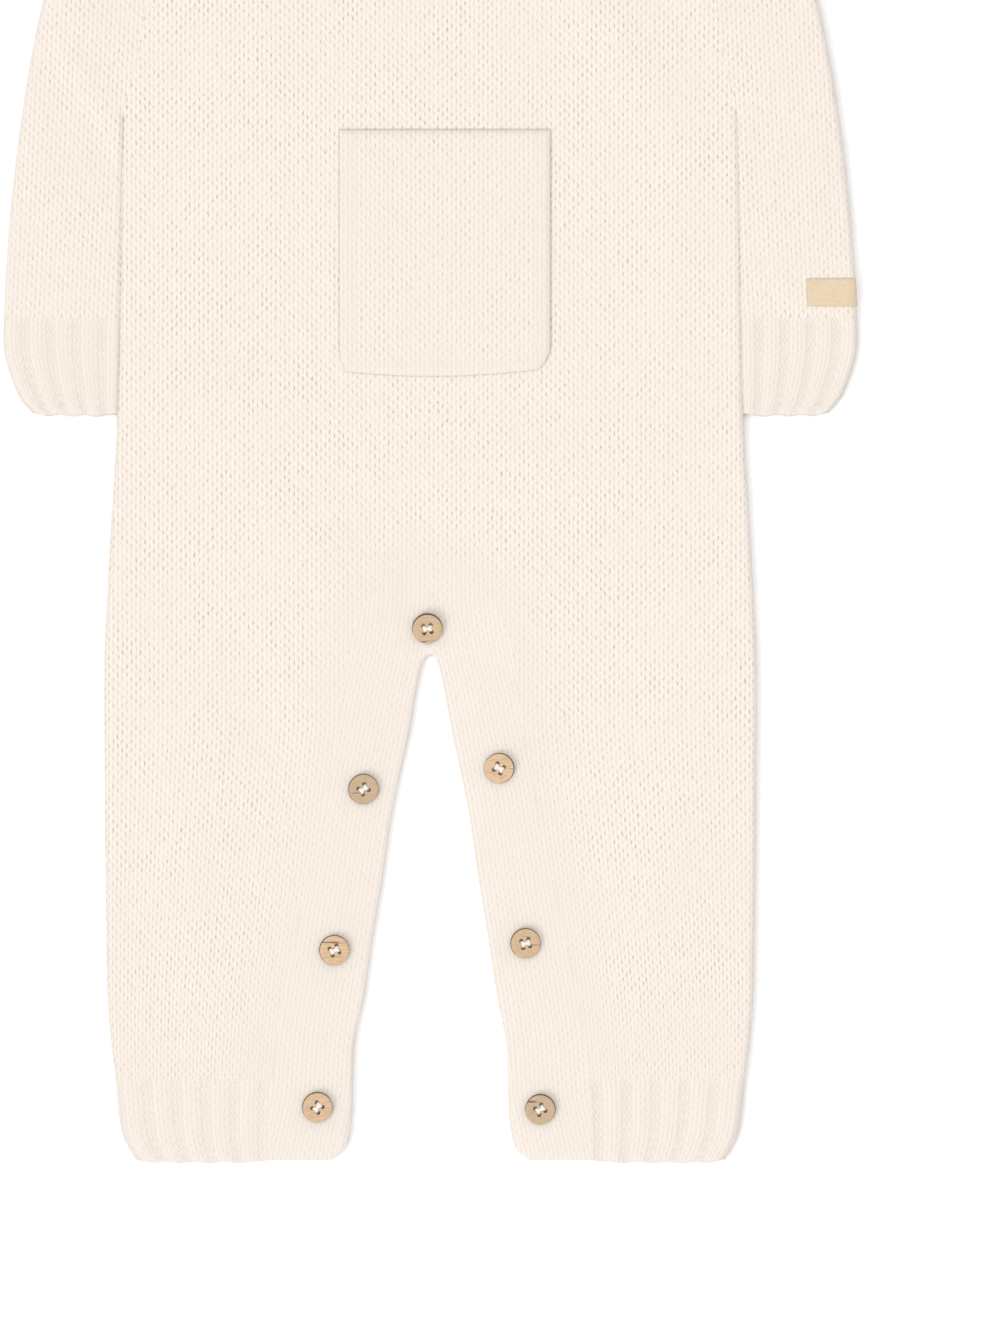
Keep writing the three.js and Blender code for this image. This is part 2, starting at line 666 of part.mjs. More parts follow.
const FRONT_DENSITY = { fine: true, body: 6, chest: 3, neck: 5, across: 7 };
const BACK_DENSITY = { fine: false, body: 3, chest: 3, neck: 5, across: 4 };

const frontGrid = panelGrid(FRONT, FRONT_NECK, FRONT_DENSITY);
addPiece('front', new Wall().mirrored(frontGrid).geometry(), COLOURS.knit);
const backGrid = panelGrid(BACK, BACK_NECK, BACK_DENSITY);
addPiece('back', new Wall().mirrored(backGrid, true).geometry(), COLOURS.knit);

const frontBand = bandGrid(FRONT, true);
addPiece('button_band_front', new Wall().mirrored(frontBand).geometry(), COLOURS.rib);
const backBand = bandGrid(BACK, false);
addPiece('button_band_back', new Wall().mirrored(backBand, true).geometry(), COLOURS.rib);

addPair('leg_cuff', legCuffGrid(), COLOURS.rib);
addPair('sleeve', sleeveGrid(), COLOURS.knit);
addPair('sleeve_cuff', sleeveCuffGrid(), COLOURS.rib);
addPiece('neckband', new Wall().mirrored(neckbandGrid(), true).geometry(), COLOURS.rib);
addPiece('pocket', new Wall().grid(pocketGrid()).geometry(), COLOURS.pocket);
addPiece('label', new Wall().grid(labelGrid()).geometry(), COLOURS.label, 0.8);

const buttonShape = buttonGeometry();
BUTTONS.forEach((button, k) => {
  const mesh = addPiece(`button_${k + 1}`, buttonShape.clone(), COLOURS.wood, 0.55);
  const tilt = new THREE.Euler(degrees(button.tiltX), degrees(button.tiltY), 0, 'XYZ');
  mesh.rotation.set(tilt.x, tilt.y, degrees(button.turn), 'XYZ');
  mesh.position.set(button.x, button.y, buttonSeat(button, tilt));
});

// The origin goes to the middle of the garment's box, on the surface
const box = new THREE.Box3().setFromObject(garment);
garment.position.y = -(box.min.y + box.max.y) / 2;

const romper = new THREE.Group();
romper.add(garment);

export default romper;
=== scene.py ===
"""Baby romper in cream stockinette, laid flat on its back: its finished looks on the fixed frame."""

import math

import bmesh
import bpy
import numpy as np
from bpy.props import FloatProperty, FloatVectorProperty, PointerProperty
from mathutils import Euler, Matrix, Vector
from mathutils.geometry import delaunay_2d_cdt
from mathutils.kdtree import KDTree


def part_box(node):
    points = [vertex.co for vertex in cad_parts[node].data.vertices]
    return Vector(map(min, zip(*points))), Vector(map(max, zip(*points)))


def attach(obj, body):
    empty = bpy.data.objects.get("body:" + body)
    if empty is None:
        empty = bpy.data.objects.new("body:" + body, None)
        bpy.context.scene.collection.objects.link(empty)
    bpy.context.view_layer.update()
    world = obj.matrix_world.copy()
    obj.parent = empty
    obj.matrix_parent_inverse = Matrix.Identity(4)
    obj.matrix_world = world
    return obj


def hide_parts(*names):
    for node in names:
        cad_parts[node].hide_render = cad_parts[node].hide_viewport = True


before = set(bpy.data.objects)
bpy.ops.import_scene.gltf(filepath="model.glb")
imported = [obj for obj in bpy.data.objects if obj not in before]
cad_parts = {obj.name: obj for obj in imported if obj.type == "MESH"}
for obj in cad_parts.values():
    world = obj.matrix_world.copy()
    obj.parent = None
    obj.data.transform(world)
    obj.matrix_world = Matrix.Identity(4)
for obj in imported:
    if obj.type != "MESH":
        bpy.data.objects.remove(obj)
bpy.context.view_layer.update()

bl_info = {
    "name": "Baby romper",
    "version": (1, 0, 0),
    "blender": (4, 5, 0),
    "location": "3D View > Sidebar > Romper",
    "description": "Knitted baby romper laid flat, with ribbed cuffs, a pocket and a buttoned inner leg",
    "category": "Object",
}

# Lengths are millimetres until a mesh is made; y is 0 at the top of the opening between the legs
MM = 0.001
WALL = 2.2
SEAM_GAP = 0.3
# Half of what the loops of two pieces reach into each other at a linked seam
LINKED = 0.12
FOLD_RADIUS = 2.9
TOP = 2 * FOLD_RADIUS + SEAM_GAP
HALF = TOP / 2
HEM_Y = -232.3
CUFF_Y = -195.0
UNDERARM_Y = 250.0
# How far the garment is moved along y so that its box is centred, read from the frame
SHIFT_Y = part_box("leg_cuff_right")[0].y / MM - HEM_Y

# Folded side of the body and leg: height, half width
SIDE = np.array([
    (-232.3, 135.7), (-227.7, 138.5), (-220.8, 141.7), (-195.0, 144.9), (-165.6, 148.1),
    (-120.0, 149.3), (-60.0, 149.9), (0.0, 150.0), (30.0, 148.6), (71.0, 146.3),
    (103.5, 144.4), (224.5, 142.2), (250.0, 141.6),
])
# Button band from the hem to the middle of the crotch: free edge x, y and seam x, y
BAND = np.array([
    (45.5, -232.3, 74.0, -232.3), (39.5, -227.5, 74.0, -227.0), (36.6, -215.0, 73.7, -214.0),
    (35.9, -195.0, 72.6, -195.0), (34.9, -177.0, 70.5, -177.0), (31.0, -158.7, 67.3, -156.0),
    (26.9, -131.0, 62.0, -130.0), (22.4, -104.0, 56.0, -103.0), (18.4, -76.0, 50.2, -76.0),
    (13.8, -53.0, 45.6, -53.0), (9.7, -34.5, 42.0, -32.0), (7.2, -19.5, 39.6, -12.0),
    (5.2, -9.5, 36.8, 6.0), (3.8, -4.0, 31.0, 21.0), (2.0, -0.9, 18.0, 34.5),
    (0.0, 0.0, 0.0, 39.5),
])
# How far the button band and the neckband sink towards their free edges
BAND_SETTLE = 1.2
NECKBAND_SETTLE = 1.0
NECK_POINT = (66.0, 388.0)
SHOULDER_TIP = (133.0, 366.0)
ARMHOLE_BOW = 7.0
FRONT_NECK = np.array([(0, 332), (22, 335), (42, 345.5), (55, 360), (62, 375), NECK_POINT])
BACK_NECK = np.array([(0, 373), (22, 373.8), (40, 376), (53, 379.3), (61, 383.2), NECK_POINT])
NECKBAND_WIDTH = 16.0
# Outer edge of the sleeve from the shoulder to the cuff seam, and of its cuff
SLEEVE_EDGE = np.array([
    (133.4, 366.4), (147.5, 359.0), (160.0, 345.5), (170.5, 326.0), (178.8, 299.0),
    (185.0, 268.0), (189.8, 236.0), (193.0, 207.0), (195.2, 180.0), (196.4, 155.2),
])
SLEEVE_CUFF_EDGE = np.array([
    (196.4, 155.3), (196.3, 140.5), (193.4, 129.0), (189.0, 118.5), (183.6, 111.8),
])
SLEEVE_CUFF_HEM_Y = 111.3
# The sleeve is pressed against the body, so their soft edges sink into each other
SLEEVE_BESIDE_BODY = -1.0
# Ribs of the cuffs: sunk purl channels between ridges of two knit columns
CHANNEL_DEPTH = 0.55
LEG_CHANNEL = 76.8
LEG_RIB = 13.6
# Shares of the sleeve cuff's width, and the width of a rib at its hem
SLEEVE_CHANNEL = 0.13
SLEEVE_RIB = 0.245
SLEEVE_HEM_RIB = 11.4
NECK_RIB = 13.6
# Ribs fade out beside the band, and below the seam that they hang from, starting a little above it
FADE = {"beside_band": 3.0, "below_seam": 3.5, "into_seam": 0.8}
# Ribs of a leg cuff are spread between this far from the band's seam and the fold of the side
BAND_CLEAR = 0.25
# The purl column's two zigzag lines: turns across a column, and how far they sway from row to row
PURL = {"lines": 2.1 * 2 * math.pi, "sway": 1.7}
# A cast-off hem hangs down by this much on average, and this much more or less from rib to rib
HEM_SAG = {"mean": 1.1, "wave": 0.35}
# Soft folds of the front: middle x, y, half length, half width, turn in degrees, rise
FOLDS = [
    (58, 38, 62, 15, 42, 1.3), (-54, 48, 55, 17, 132, 1.1), (70, -22, 46, 12, 64, -0.8),
    (-76, -34, 50, 13, 112, -0.8), (106, -104, 78, 19, 82, 1.3), (-104, -126, 70, 18, 97, 1.2),
    (96, 92, 52, 22, 18, 1.0), (-98, 118, 60, 20, 160, 0.9), (4, 88, 58, 17, 3, 0.8),
    (-82, 272, 54, 17, 62, 1.3), (86, 284, 50, 16, 120, 1.3), (112, 196, 60, 14, 84, 0.9),
]
# The same for the sleeve, where it turns down from the shoulder
SLEEVE_FOLDS = [
    (158, 262, 34, 7, 58, 0.9), (166, 300, 30, 8, 40, 0.8), (152, 236, 24, 6, 74, -0.6),
    (176, 222, 40, 9, 84, 0.7), (160, 186, 30, 8, 96, 0.5),
]
SLEEVE_LEAN = 0.045
# Below this height the columns beside the band move out with it, by this share of its way
SPREAD = {"below": -32.0, "share": 0.6}
# The back has its stitches in relief only where it turns up into view
BACK_SEEN = {"from_side": 5, "above": 350}
POCKET = {"left": -42.0, "right": 55.2, "top": 241.5, "bottom": 128.2, "wall": 2.0, "gap": 0.45}
POCKET_CORNER = {"left_in": 2.9, "right_in": 5.2, "height": 14.0, "sag": 2.6, "sag_at": 0.45}
POCKET_BORDER = 8.0
# The label: how far it reaches in from the sleeve's edge, its corners, how far its cut edges are
# pressed down, and the angles above level at which it bends round the edge
LABEL = {
    "from_edge": 22.8, "top": 173.0, "bottom": 160.5, "wall": 0.8, "corner": 1.3, "pressed": 0.25,
    "bend": (75, 62, 51, 40),
}
# "face" is the button's top as a share of its foot; rim, slope and floor lie inside one another,
# "soft" is its bevel and "sawn" how far in from the side its cut edge is browned
BUTTON = {
    "radius": 7.0, "thickness": 2.4, "dish": 0.4, "hole": 1.0, "spacing": 3.4,
    "face": 0.968, "rim": 1.3, "slope": 2.4, "floor": 0.8, "soft": 0.18, "sawn": 0.6,
}
# Strands of the thread: their radius, how far apart they lie, how far a bar of half this length
# bows inwards, how deep its ring is sunk in the holes and where the ring is cut off
THREAD = {"radius": 0.42, "apart": 0.6, "bow": 0.42, "sunk": 0.3, "cut": 0.9, "half_bar": 1.5}
# Turn of each button's holes, its tilt about x and y in degrees, and how dull its wood is
BUTTONS = [
    (8, 14, 2, 0.45), (38, 3, 4, 0.65), (-30, 3, -5, 0.0), (24, 2, 5, 0.0),
    (14, 3, 3, 0.35), (52, 2, 4, 0.1), (33, 4, -2, 0.65),
]

# How finely outlines and plain faces are drawn
EDGE_STEP = 1.3
PLAIN_STEP = 7.0
NECKBAND_STEP = 0.9
# One ring of points runs this far inside an edge, and stitches keep clear of it
EDGE_RING = 0.55
CLEAR_OF_EDGE = 0.95
# Relief rises to its full height over this much from an edge
RELIEF_FADE = 1.4
# Triangles with less than half this area lie on the outline
SLIVER = 0.04
# Parts of a stitch, across and along, between the points of the knit
KNIT_STEPS = (0.25, 0.5)
RIB_STEPS = (0.125, 0.25)
BACK_STEPS = (0.5, 0.5)
# How far a turned edge's flat cloth reaches past the edge seen from above
TURN_SPARE = FOLD_RADIUS * (math.pi / 2 - 1)

# Lights: place in metres, power and size; the sun stands for a window, the sky for white walls
CEILING = {"place": (-0.1, -0.2, 3.2), "watts": 64.0, "size": 4.0}
WINDOW = {"place": (-1.05, -0.95, 1.4), "strength": 0.76, "angle": 24}
SKY = 0.62
# The picture's middle and the height that it covers, on the top of the cloth
PICTURE = {"middle_x": 32.0, "middle_y": -5.5, "height": 613.6}
SENSOR = 36.0


def linear(hex_colour):
    """Turn an sRGB hex colour to linear values"""
    parts = [int(hex_colour[i:i + 2], 16) / 255 for i in (1, 3, 5)]
    return [c / 12.92 if c <= 0.04045 else ((c + 0.055) / 1.055) ** 2.4 for c in parts]


class RomperSettings(bpy.types.PropertyGroup):
    """Sizes and colours of the romper that a user may change"""

    stitch_width: FloatProperty(
        name="Stitch width", description="One column of stockinette", default=0.00415, unit="LENGTH"
    )
    stitch_height: FloatProperty(
        name="Stitch height", description="One row of stockinette", default=0.00408, unit="LENGTH"
    )
    stitch_relief: FloatProperty(
        name="Stitch relief", description="From the holes to the yarn's crown",
        default=0.0005, unit="LENGTH",
    )
    band_relief: FloatProperty(
        name="Band relief", description="Relief of the close knit of the button band",
        default=0.00025, unit="LENGTH",
    )
    knit_colour: FloatVectorProperty(
        name="Yarn", description="Cream yarn", default=linear("#f2e9e0"), subtype="COLOR"
    )
    # Painted shade in the holes and grooves between stitches, mixed into the yarn's colour
    hole_shade_colour: FloatVectorProperty(
        name="Between stitches", description="Yarn in the holes between stitches",
        default=linear("#bcaa96"), subtype="COLOR",
    )
    wood_colour: FloatVectorProperty(
        name="Button", description="Face of the buttons", default=linear("#d8b791"), subtype="COLOR"
    )
    label_colour: FloatVectorProperty(
        name="Label", description="Bare label", default=linear("#dbc7aa"), subtype="COLOR"
    )
    thread_colour: FloatVectorProperty(
        name="Thread", description="Button thread", default=linear("#f4f1ec"), subtype="COLOR"
    )
    camera_height: FloatProperty(
        name="Camera height", description="Above the surface", default=2.4, unit="LENGTH"
    )


def settings():
    return bpy.context.scene.romper


# Curves and outlines in plan

def through(points, per=10):
    """Dense centripetal curve through points"""
    points = np.asarray(points, float)
    padded = np.vstack([2 * points[0] - points[1], points, 2 * points[-1] - points[-2]])
    steps = np.sqrt(np.linalg.norm(np.diff(padded, axis=0), axis=1))
    line = []
    for k in range(1, len(padded) - 2):
        before, start, end, after = padded[k - 1:k + 3]
        d0, d1, d2 = steps[k - 1:k + 2]
        leave = (start - before) / d0 - (end - before) / (d0 + d1) + (end - start) / d1
        reach = (end - start) / d1 - (after - start) / (d1 + d2) + (after - end) / d2
        for t in np.arange(per) / per:
            held = start * (1 + 2 * t) * (1 - t) ** 2 + end * t * t * (3 - 2 * t)
            line.append(held + d1 * (leave * t * (1 - t) ** 2 + reach * t * t * (t - 1)))
    return np.array(line + [points[-1]])


def travelled(line):
    """Distance along a line at each of its points"""
    return np.concatenate([[0], np.cumsum(np.linalg.norm(np.diff(line, axis=0), axis=1))])


def resample(line, step):
    """The same line with even steps close to the wanted one"""
    far = travelled(line)
    places = np.linspace(0, far[-1], max(2, round(far[-1] / step) + 1))
    return np.column_stack([np.interp(places, far, line[:, k]) for k in (0, 1)])


def beside(line, distance):
    """The line moved to its left by a distance"""
    along = np.gradient(line, axis=0)
    along /= np.linalg.norm(along, axis=1)[:, None]
    return line + distance * np.column_stack([-along[:, 1], along[:, 0]])


def mirrored(line):
    """The line on the other side of the garment, run the other way"""
    return line[::-1] * (-1, 1)


def unit(direction):
    return direction / np.linalg.norm(direction)


SIDE_LINE = through(SIDE)
EDGE_LINE = through(BAND[:, 0:2])
SEAM_LINE = through(BAND[:, 2:4])
SHOULDER = np.array([SHOULDER_TIP, NECK_POINT])
ALONG_SHOULDER = unit(SHOULDER[1] - SHOULDER[0])


def side_x(y):
    """Half width of the body and leg at the side"""
    return np.interp(y, SIDE_LINE[:, 0], SIDE_LINE[:, 1])


def seam_x(y):
    """Half width of the band's seam below the crotch"""
    return np.interp(y, SEAM_LINE[:, 1], SEAM_LINE[:, 0])


def opening_x(y):
    """Half width of the opening between the legs, nothing above it"""
    return np.where(y < 0, np.interp(y, EDGE_LINE[:, 1], EDGE_LINE[:, 0]), 0.0)


def closed_outline(parts):
    """Join open lines, counter-clockwise, into a loop; turned edges get their spare cloth"""
    loop, kinds = [], []
    for k, (line, kind) in enumerate(parts):
        line = resample(line, EDGE_STEP)
        if kind in ("turned", "joined"):
            line = beside(line, -TURN_SPARE)
        else:
            line = line[1 if parts[k - 1][1] in ("turned", "joined") else 0:-1]
        loop.append(line)
        kinds += [kind] * len(line)
    return np.vstack(loop), kinds


# Cloth laid on the form

def nearest(line, points):
    """For points near a line: their inward distance, the outward direction, and how far past its ends"""
    shape = (len(points), 2)
    best = np.full(len(points), np.inf)
    inside, past, out = np.full(len(points), np.inf), np.zeros(len(points)), np.zeros(shape)
    last = len(line) - 2
    for k in range(last + 1):
        along = line[k + 1] - line[k]
        length = np.linalg.norm(along)
        along = along / length
        right = np.array([along[1], -along[0]])
        offset = points - line[k]
        t = offset @ along
        held = np.clip(t, 0, length)
        gap = np.linalg.norm(offset - held[:, None] * along, axis=1)
        closer = gap < best
        best[closer] = gap[closer]
        inside[closer] = -(offset @ right)[closer]
        out[closer] = right
        over = np.zeros(len(points))
        if k == 0:
            over = np.maximum(over, -t)
        if k == last:
            over = np.maximum(over, t - length)
        past[closer] = over[closer]
    return inside, out, past


def laid(points, edges, up, centre, rise, lift):
    """Place flat cloth: turned under round its folded edges, level elsewhere"""
    plan = points.copy()
    angle = np.zeros(len(points))
    outward = np.zeros((len(points), 2))
    reach = 3 * FOLD_RADIUS
    for line in edges:
        low, high = line.min(axis=0) - reach, line.max(axis=0) + reach
        near = np.flatnonzero(((points > low) & (points < high)).all(axis=1))
        if not len(near):
            continue
        inside, out, past = nearest(line, points[near])
        turn = np.clip((FOLD_RADIUS - inside) / FOLD_RADIUS, 0, math.pi / 2)
        turn *= np.clip(1 - past / FOLD_RADIUS, 0, 1)
        use = turn > angle[near]
        chosen, turn, out = near[use], turn[use], out[use]
        angle[chosen] = turn
        outward[chosen] = out
        plan[chosen] = points[chosen] - out * (FOLD_RADIUS * (turn - np.sin(turn)))[:, None]
    z = centre + up * rise * np.cos(angle) + lift(plan) * np.cos(angle)
    normal = np.column_stack([outward * np.sin(angle)[:, None], up * np.cos(angle)])
    return np.column_stack([plan, z]), normal


def no_lift(plan):
    return 0


def no_relief(stitch, place):
    return 0 * stitch[:, 0]


def tree_of(points):
    tree = KDTree(len(points))
    for k, (x, y) in enumerate(points):
        tree.insert((x, y, 0), k)
    tree.balance()
    return tree


def distances(tree, points):
    """How far each point is from the nearest one of a tree, and which one that is"""
    found = [tree.find((x, y, 0)) for x, y in points]
    return np.array([f[2] for f in found]), np.array([f[1] for f in found])


def within(loop, points):
    """Which points lie inside a loop, by counting the edges to their left"""
    x, y = points[:, 0], points[:, 1]
    odd = np.zeros(len(points), dtype=bool)
    for (x0, y0), (x1, y1) in zip(loop, np.roll(loop, -1, axis=0)):
        rows = (y0 > y) != (y1 > y)
        if rows.any():
            odd[rows] ^= x[rows] > x0 + (x1 - x0) * (y[rows] - y0) / (y1 - y0)
    return odd


def triangles(loop, others):
    """Triangles inside a loop, through its own points and the others"""
    points = [Vector(p) for p in np.vstack([loop, others]).tolist()]
    face = [list(range(len(loop)))]
    _, _, faces, source, _, _ = delaunay_2d_cdt(points, [], face, 1, 1e-5, True)
    index = np.array([s[0] if s else -1 for s in source])
    found = index[np.array(faces)]
    if (found < 0).any():
        raise RuntimeError("an outline crosses itself")
    flat = np.vstack([loop, others])
    a, b, c = (flat[found[:, k]] for k in range(3))
    area = (b[:, 0] - a[:, 0]) * (c[:, 1] - a[:, 1]) - (b[:, 1] - a[:, 1]) * (c[:, 0] - a[:, 0])
    # Slivers along the outline lie outside it
    keep = (found >= len(loop)).any(axis=1)
    inside = within(loop, flat[found[~keep]].mean(axis=1))
    keep[~keep] = inside & (np.abs(area[~keep]) > SLIVER)
    found, area = found[keep], area[keep]
    found[area < 0] = found[area < 0][:, ::-1]
    return found


def crossings(columns, rows):
    """Every place where a column crosses a row"""
    return np.array(np.meshgrid(columns, rows)).reshape(2, -1).T


class Grain:
    """Where stitches lie on flat cloth: columns may spread or lean with height, rows may wave"""

    def __init__(self, width, height, scale=None, shift=None, both_sides=False, wave=0.0):
        self.width, self.height = width, height
        self.scale = scale or (lambda y: np.ones_like(y))
        self.shift = shift or (lambda y: np.zeros_like(y))
        self.both_sides = both_sides
        self.wave = wave

    def waved(self, x):
        """Rows rise and fall across the cloth, in a long and a short wave"""
        return self.wave * (np.sin(x / 41 + 0.7) + 0.5 * np.sin(x / 17 + 2.1))

    def to_stitch(self, flat):
        x, y = flat[:, 0], flat[:, 1]
        y = y - self.waved(x)
        side = np.where(x < 0, -1, 1) if self.both_sides else 1
        across = side * (self.scale(y) * x * side + self.shift(y))
        return np.column_stack([across / self.width, y / self.height])

    def to_flat(self, stitch):
        across, y = stitch[:, 0] * self.width, stitch[:, 1] * self.height
        side = np.where(across < 0, -1, 1) if self.both_sides else 1
        x = side * (across * side - self.shift(y)) / self.scale(y)
        return np.column_stack([x, y + self.waved(x)])


def stitch_points(loop, grain, edge_tree, steps, fine):
    """Points on the knit inside a loop, on the flat cloth and counted in stitches"""
    reach = grain.to_stitch(loop)
    columns, rows = (
        np.arange(math.floor(reach[:, k].min()) - 1, reach[:, k].max() + 1, steps[k]) for k in (0, 1)
    )
    stitch = crossings(columns, rows)
    flat = grain.to_flat(stitch)
    inside = within(loop, flat)
    if fine:
        inside &= fine(flat)
    stitch, flat = stitch[inside], flat[inside]
    clear = distances(edge_tree, flat)[0] > CLEAR_OF_EDGE
    return flat[clear], stitch[clear]


def plain_points(loop, edge_tree):
    """Points far apart inside a loop, enough for a plain face"""
    low, high = loop.min(axis=0), loop.max(axis=0)
    columns, rows = (np.arange(low[k], high[k] + PLAIN_STEP, PLAIN_STEP) for k in (0, 1))
    plain = crossings(columns, rows)
    plain = plain[within(loop, plain)]
    return plain[distances(edge_tree, plain)[0] > PLAIN_STEP / 2]


def edge_walls(kinds, below):
    """Faces that close a layer all round, but not where two layers are joined"""
    n = len(kinds)
    here, after = np.arange(n), (np.arange(n) + 1) % n
    open_edge = np.array([not (kinds[i] == kinds[j] == "joined") for i, j in zip(here, after)])
    here, after = here[open_edge], after[open_edge]
    low, next_low = here + below, after + below
    return np.vstack([np.column_stack([after, here, low]), np.column_stack([after, low, next_low])])


def knit_layer(
    outline, grain, lay, relief, steps, up=1, fine=None, wall=WALL, round_by=0.9, round_over=1.4
):
    """One layer of knit with a fine outer face, a plain inner face and closed edges"""
    loop, kinds = outline
    ring = beside(np.vstack([loop[-1:], loop, loop[:1]]), EDGE_RING)[1:-1]
    edge_tree = tree_of(loop)
    others, stitches = [ring], [grain.to_stitch(ring)]
    if steps:
        flat, stitch = stitch_points(loop, grain, edge_tree, steps, fine)
        others.append(flat)
        stitches.append(stitch)
    plain = plain_points(loop, edge_tree)
    if not steps or fine:
        rest = plain if not fine else plain[~fine(plain)]
        others.append(rest)
        stitches.append(grain.to_stitch(rest))
    others = np.vstack(others)
    faces = triangles(loop, others)
    flat = np.vstack([loop, others])
    stitch = np.vstack([grain.to_stitch(loop), *stitches])
    used = np.unique(np.concatenate([np.arange(len(loop)), faces.ravel()]))
    renumber = np.full(len(flat), -1)
    renumber[used] = np.arange(len(used))
    faces, flat, stitch = renumber[faces], flat[used], stitch[used]
    place, normal = lay(flat)
    gap, which = distances(edge_tree, flat)
    gap[:len(loop)] = 0
    kind = np.array(kinds)[which]
    soft = np.where(kind == "seam", 1, np.clip(gap / RELIEF_FADE, 0, 1))
    drop = np.where(kind == "free", round_by, 0) * (1 - np.clip(gap / round_over, 0, 1)) ** 2
    height = relief(stitch, place) * soft - drop
    outer = place + normal * height[:, None]
    inner_flat = np.vstack([loop, plain])
    inner_faces = triangles(loop, plain) + len(outer)
    inner_place, inner_normal = lay(inner_flat)
    inner = inner_place - inner_normal * wall
    faces = np.vstack([faces, inner_faces[:, ::-1], edge_walls(kinds, len(outer))])
    if up < 0:
        faces = faces[:, ::-1]
    stitch = np.vstack([stitch, grain.to_stitch(inner_flat)])
    linked = np.zeros(len(stitch), dtype=bool)
    linked[:len(loop)] = np.array(kinds) == "seam"
    return np.vstack([outer, inner]), faces, stitch, linked


def stockinette(stitch, steep=1.5):
    """Height of stockinette, 0 in its holes and 1 on the yarn, at places counted in stitches"""
    u, v = stitch[:, 0], stitch[:, 1]
    side = np.abs(2 * (u % 1) - 1)
    between_rows = 1 - np.sin(np.pi * ((v - steep * side) % 1))
    between_legs = 1 - np.abs(np.sin(2 * np.pi * u))
    hole = between_rows * between_legs
    return 1 - 0.2 * between_rows - 0.25 * between_legs - 0.55 * hole


def unevenness(stitch):
    """A fixed difference from stitch to stitch, -1 to 1, scattered by the fraction of a large sine"""
    cell = np.floor(stitch[:, 0] * 2) * 12.9898 + np.floor(stitch[:, 1]) * 78.233
    return 2 * ((np.sin(cell) * 43758.5453) % 1) - 1


def folds(plan, soft_folds=FOLDS):
    """How far the soft folds lift the cloth"""
    total = np.zeros(len(plan))
    for x, y, half_length, half_width, turn, rise in soft_folds:
        c, s = math.cos(math.radians(turn)), math.sin(math.radians(turn))
        along = ((plan[:, 0] - x) * c + (plan[:, 1] - y) * s) / half_length
        across = ((plan[:, 1] - y) * c - (plan[:, 0] - x) * s) / half_width
        total += rise * np.exp(-along * along - across * across)
    return total


def close_knit(place):
    """How open the stitches of the bands and cuffs are"""
    return np.full(len(place), 0.25)


# Making objects

def shut_seams(mesh):
    """Shade each piece flat up to a linked seam, so that no line shows between two pieces"""
    linked = np.empty(len(mesh.vertices), dtype=np.float32)
    mesh.attributes["linked"].data.foreach_get("value", linked)
    ends = np.empty(2 * len(mesh.edges), dtype=np.int32)
    mesh.edges.foreach_get("vertices", ends)
    sharp = (linked[ends.reshape(-1, 2)] > 0.5).all(axis=1)
    mesh.attributes.new("sharp_edge", "BOOLEAN", "EDGE").data.foreach_set("value", sharp)


def cloth_object(name, layers, material, nodes, openness=None):
    """Join layers into one closed piece, with its stitches as a UV map and how open they are"""
    points = np.vstack([layer[0] for layer in layers])
    stitch = np.vstack([layer[2] for layer in layers])
    linked = np.concatenate([layer[3] for layer in layers])
    starts = np.cumsum([0] + [len(layer[0]) for layer in layers[:-1]])
    faces = np.vstack([layer[1] + start for layer, start in zip(layers, starts)])
    place, points = points, (points + (0, SHIFT_Y, 0)) * MM
    mesh = bpy.data.meshes.new(name)
    mesh.from_pydata(points.tolist(), [], faces.tolist())
    corner = np.empty(len(mesh.loops), dtype=np.int32)
    mesh.loops.foreach_get("vertex_index", corner)
    layer = mesh.uv_layers.new(name="stitches")
    layer.data.foreach_set("uv", stitch[corner].astype(np.float32).ravel())
    open_knit = np.ones(len(points)) if openness is None else openness(place)
    marked = mesh.attributes.new("linked", "FLOAT", "POINT")
    marked.data.foreach_set("value", linked.astype(np.float32))
    holes = mesh.attributes.new("openness", "FLOAT", "POINT")
    holes.data.foreach_set("value", open_knit.astype(np.float32))
    if len(layers) > 1:
        work = bmesh.new()
        work.from_mesh(mesh)
        bmesh.ops.remove_doubles(work, verts=work.verts, dist=2e-6)
        work.to_mesh(mesh)
        work.free()
    mesh.shade_smooth()
    shut_seams(mesh)
    piece = bpy.data.objects.new(name, mesh)
    bpy.context.scene.collection.objects.link(piece)
    mesh.materials.append(material)
    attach(piece, "root")
    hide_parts(*nodes)
    return piece


def stitch_size():
    return settings().stitch_width / MM, settings().stitch_height / MM


# Materials

def add(tree, kind, inputs=(), **values):
    """Add one node with its settings; an input is a value, a node, or one output of a node"""
    node = tree.nodes.new("ShaderNode" + kind)
    for name, value in values.items():
        setattr(node, name, value)
    for key, value in inputs.items() if isinstance(inputs, dict) else enumerate(inputs):
        if isinstance(value, bpy.types.Node):
            value = value.outputs[0]
        if isinstance(value, bpy.types.NodeSocket):
            tree.links.new(value, node.inputs[key])
        else:
            node.inputs[key].default_value = value
    return node


def new_material(name):
    """An empty material and its node tree"""
    material = bpy.data.materials.new(name)
    material.use_nodes = True
    tree = material.node_tree
    tree.nodes.clear()
    return material, tree


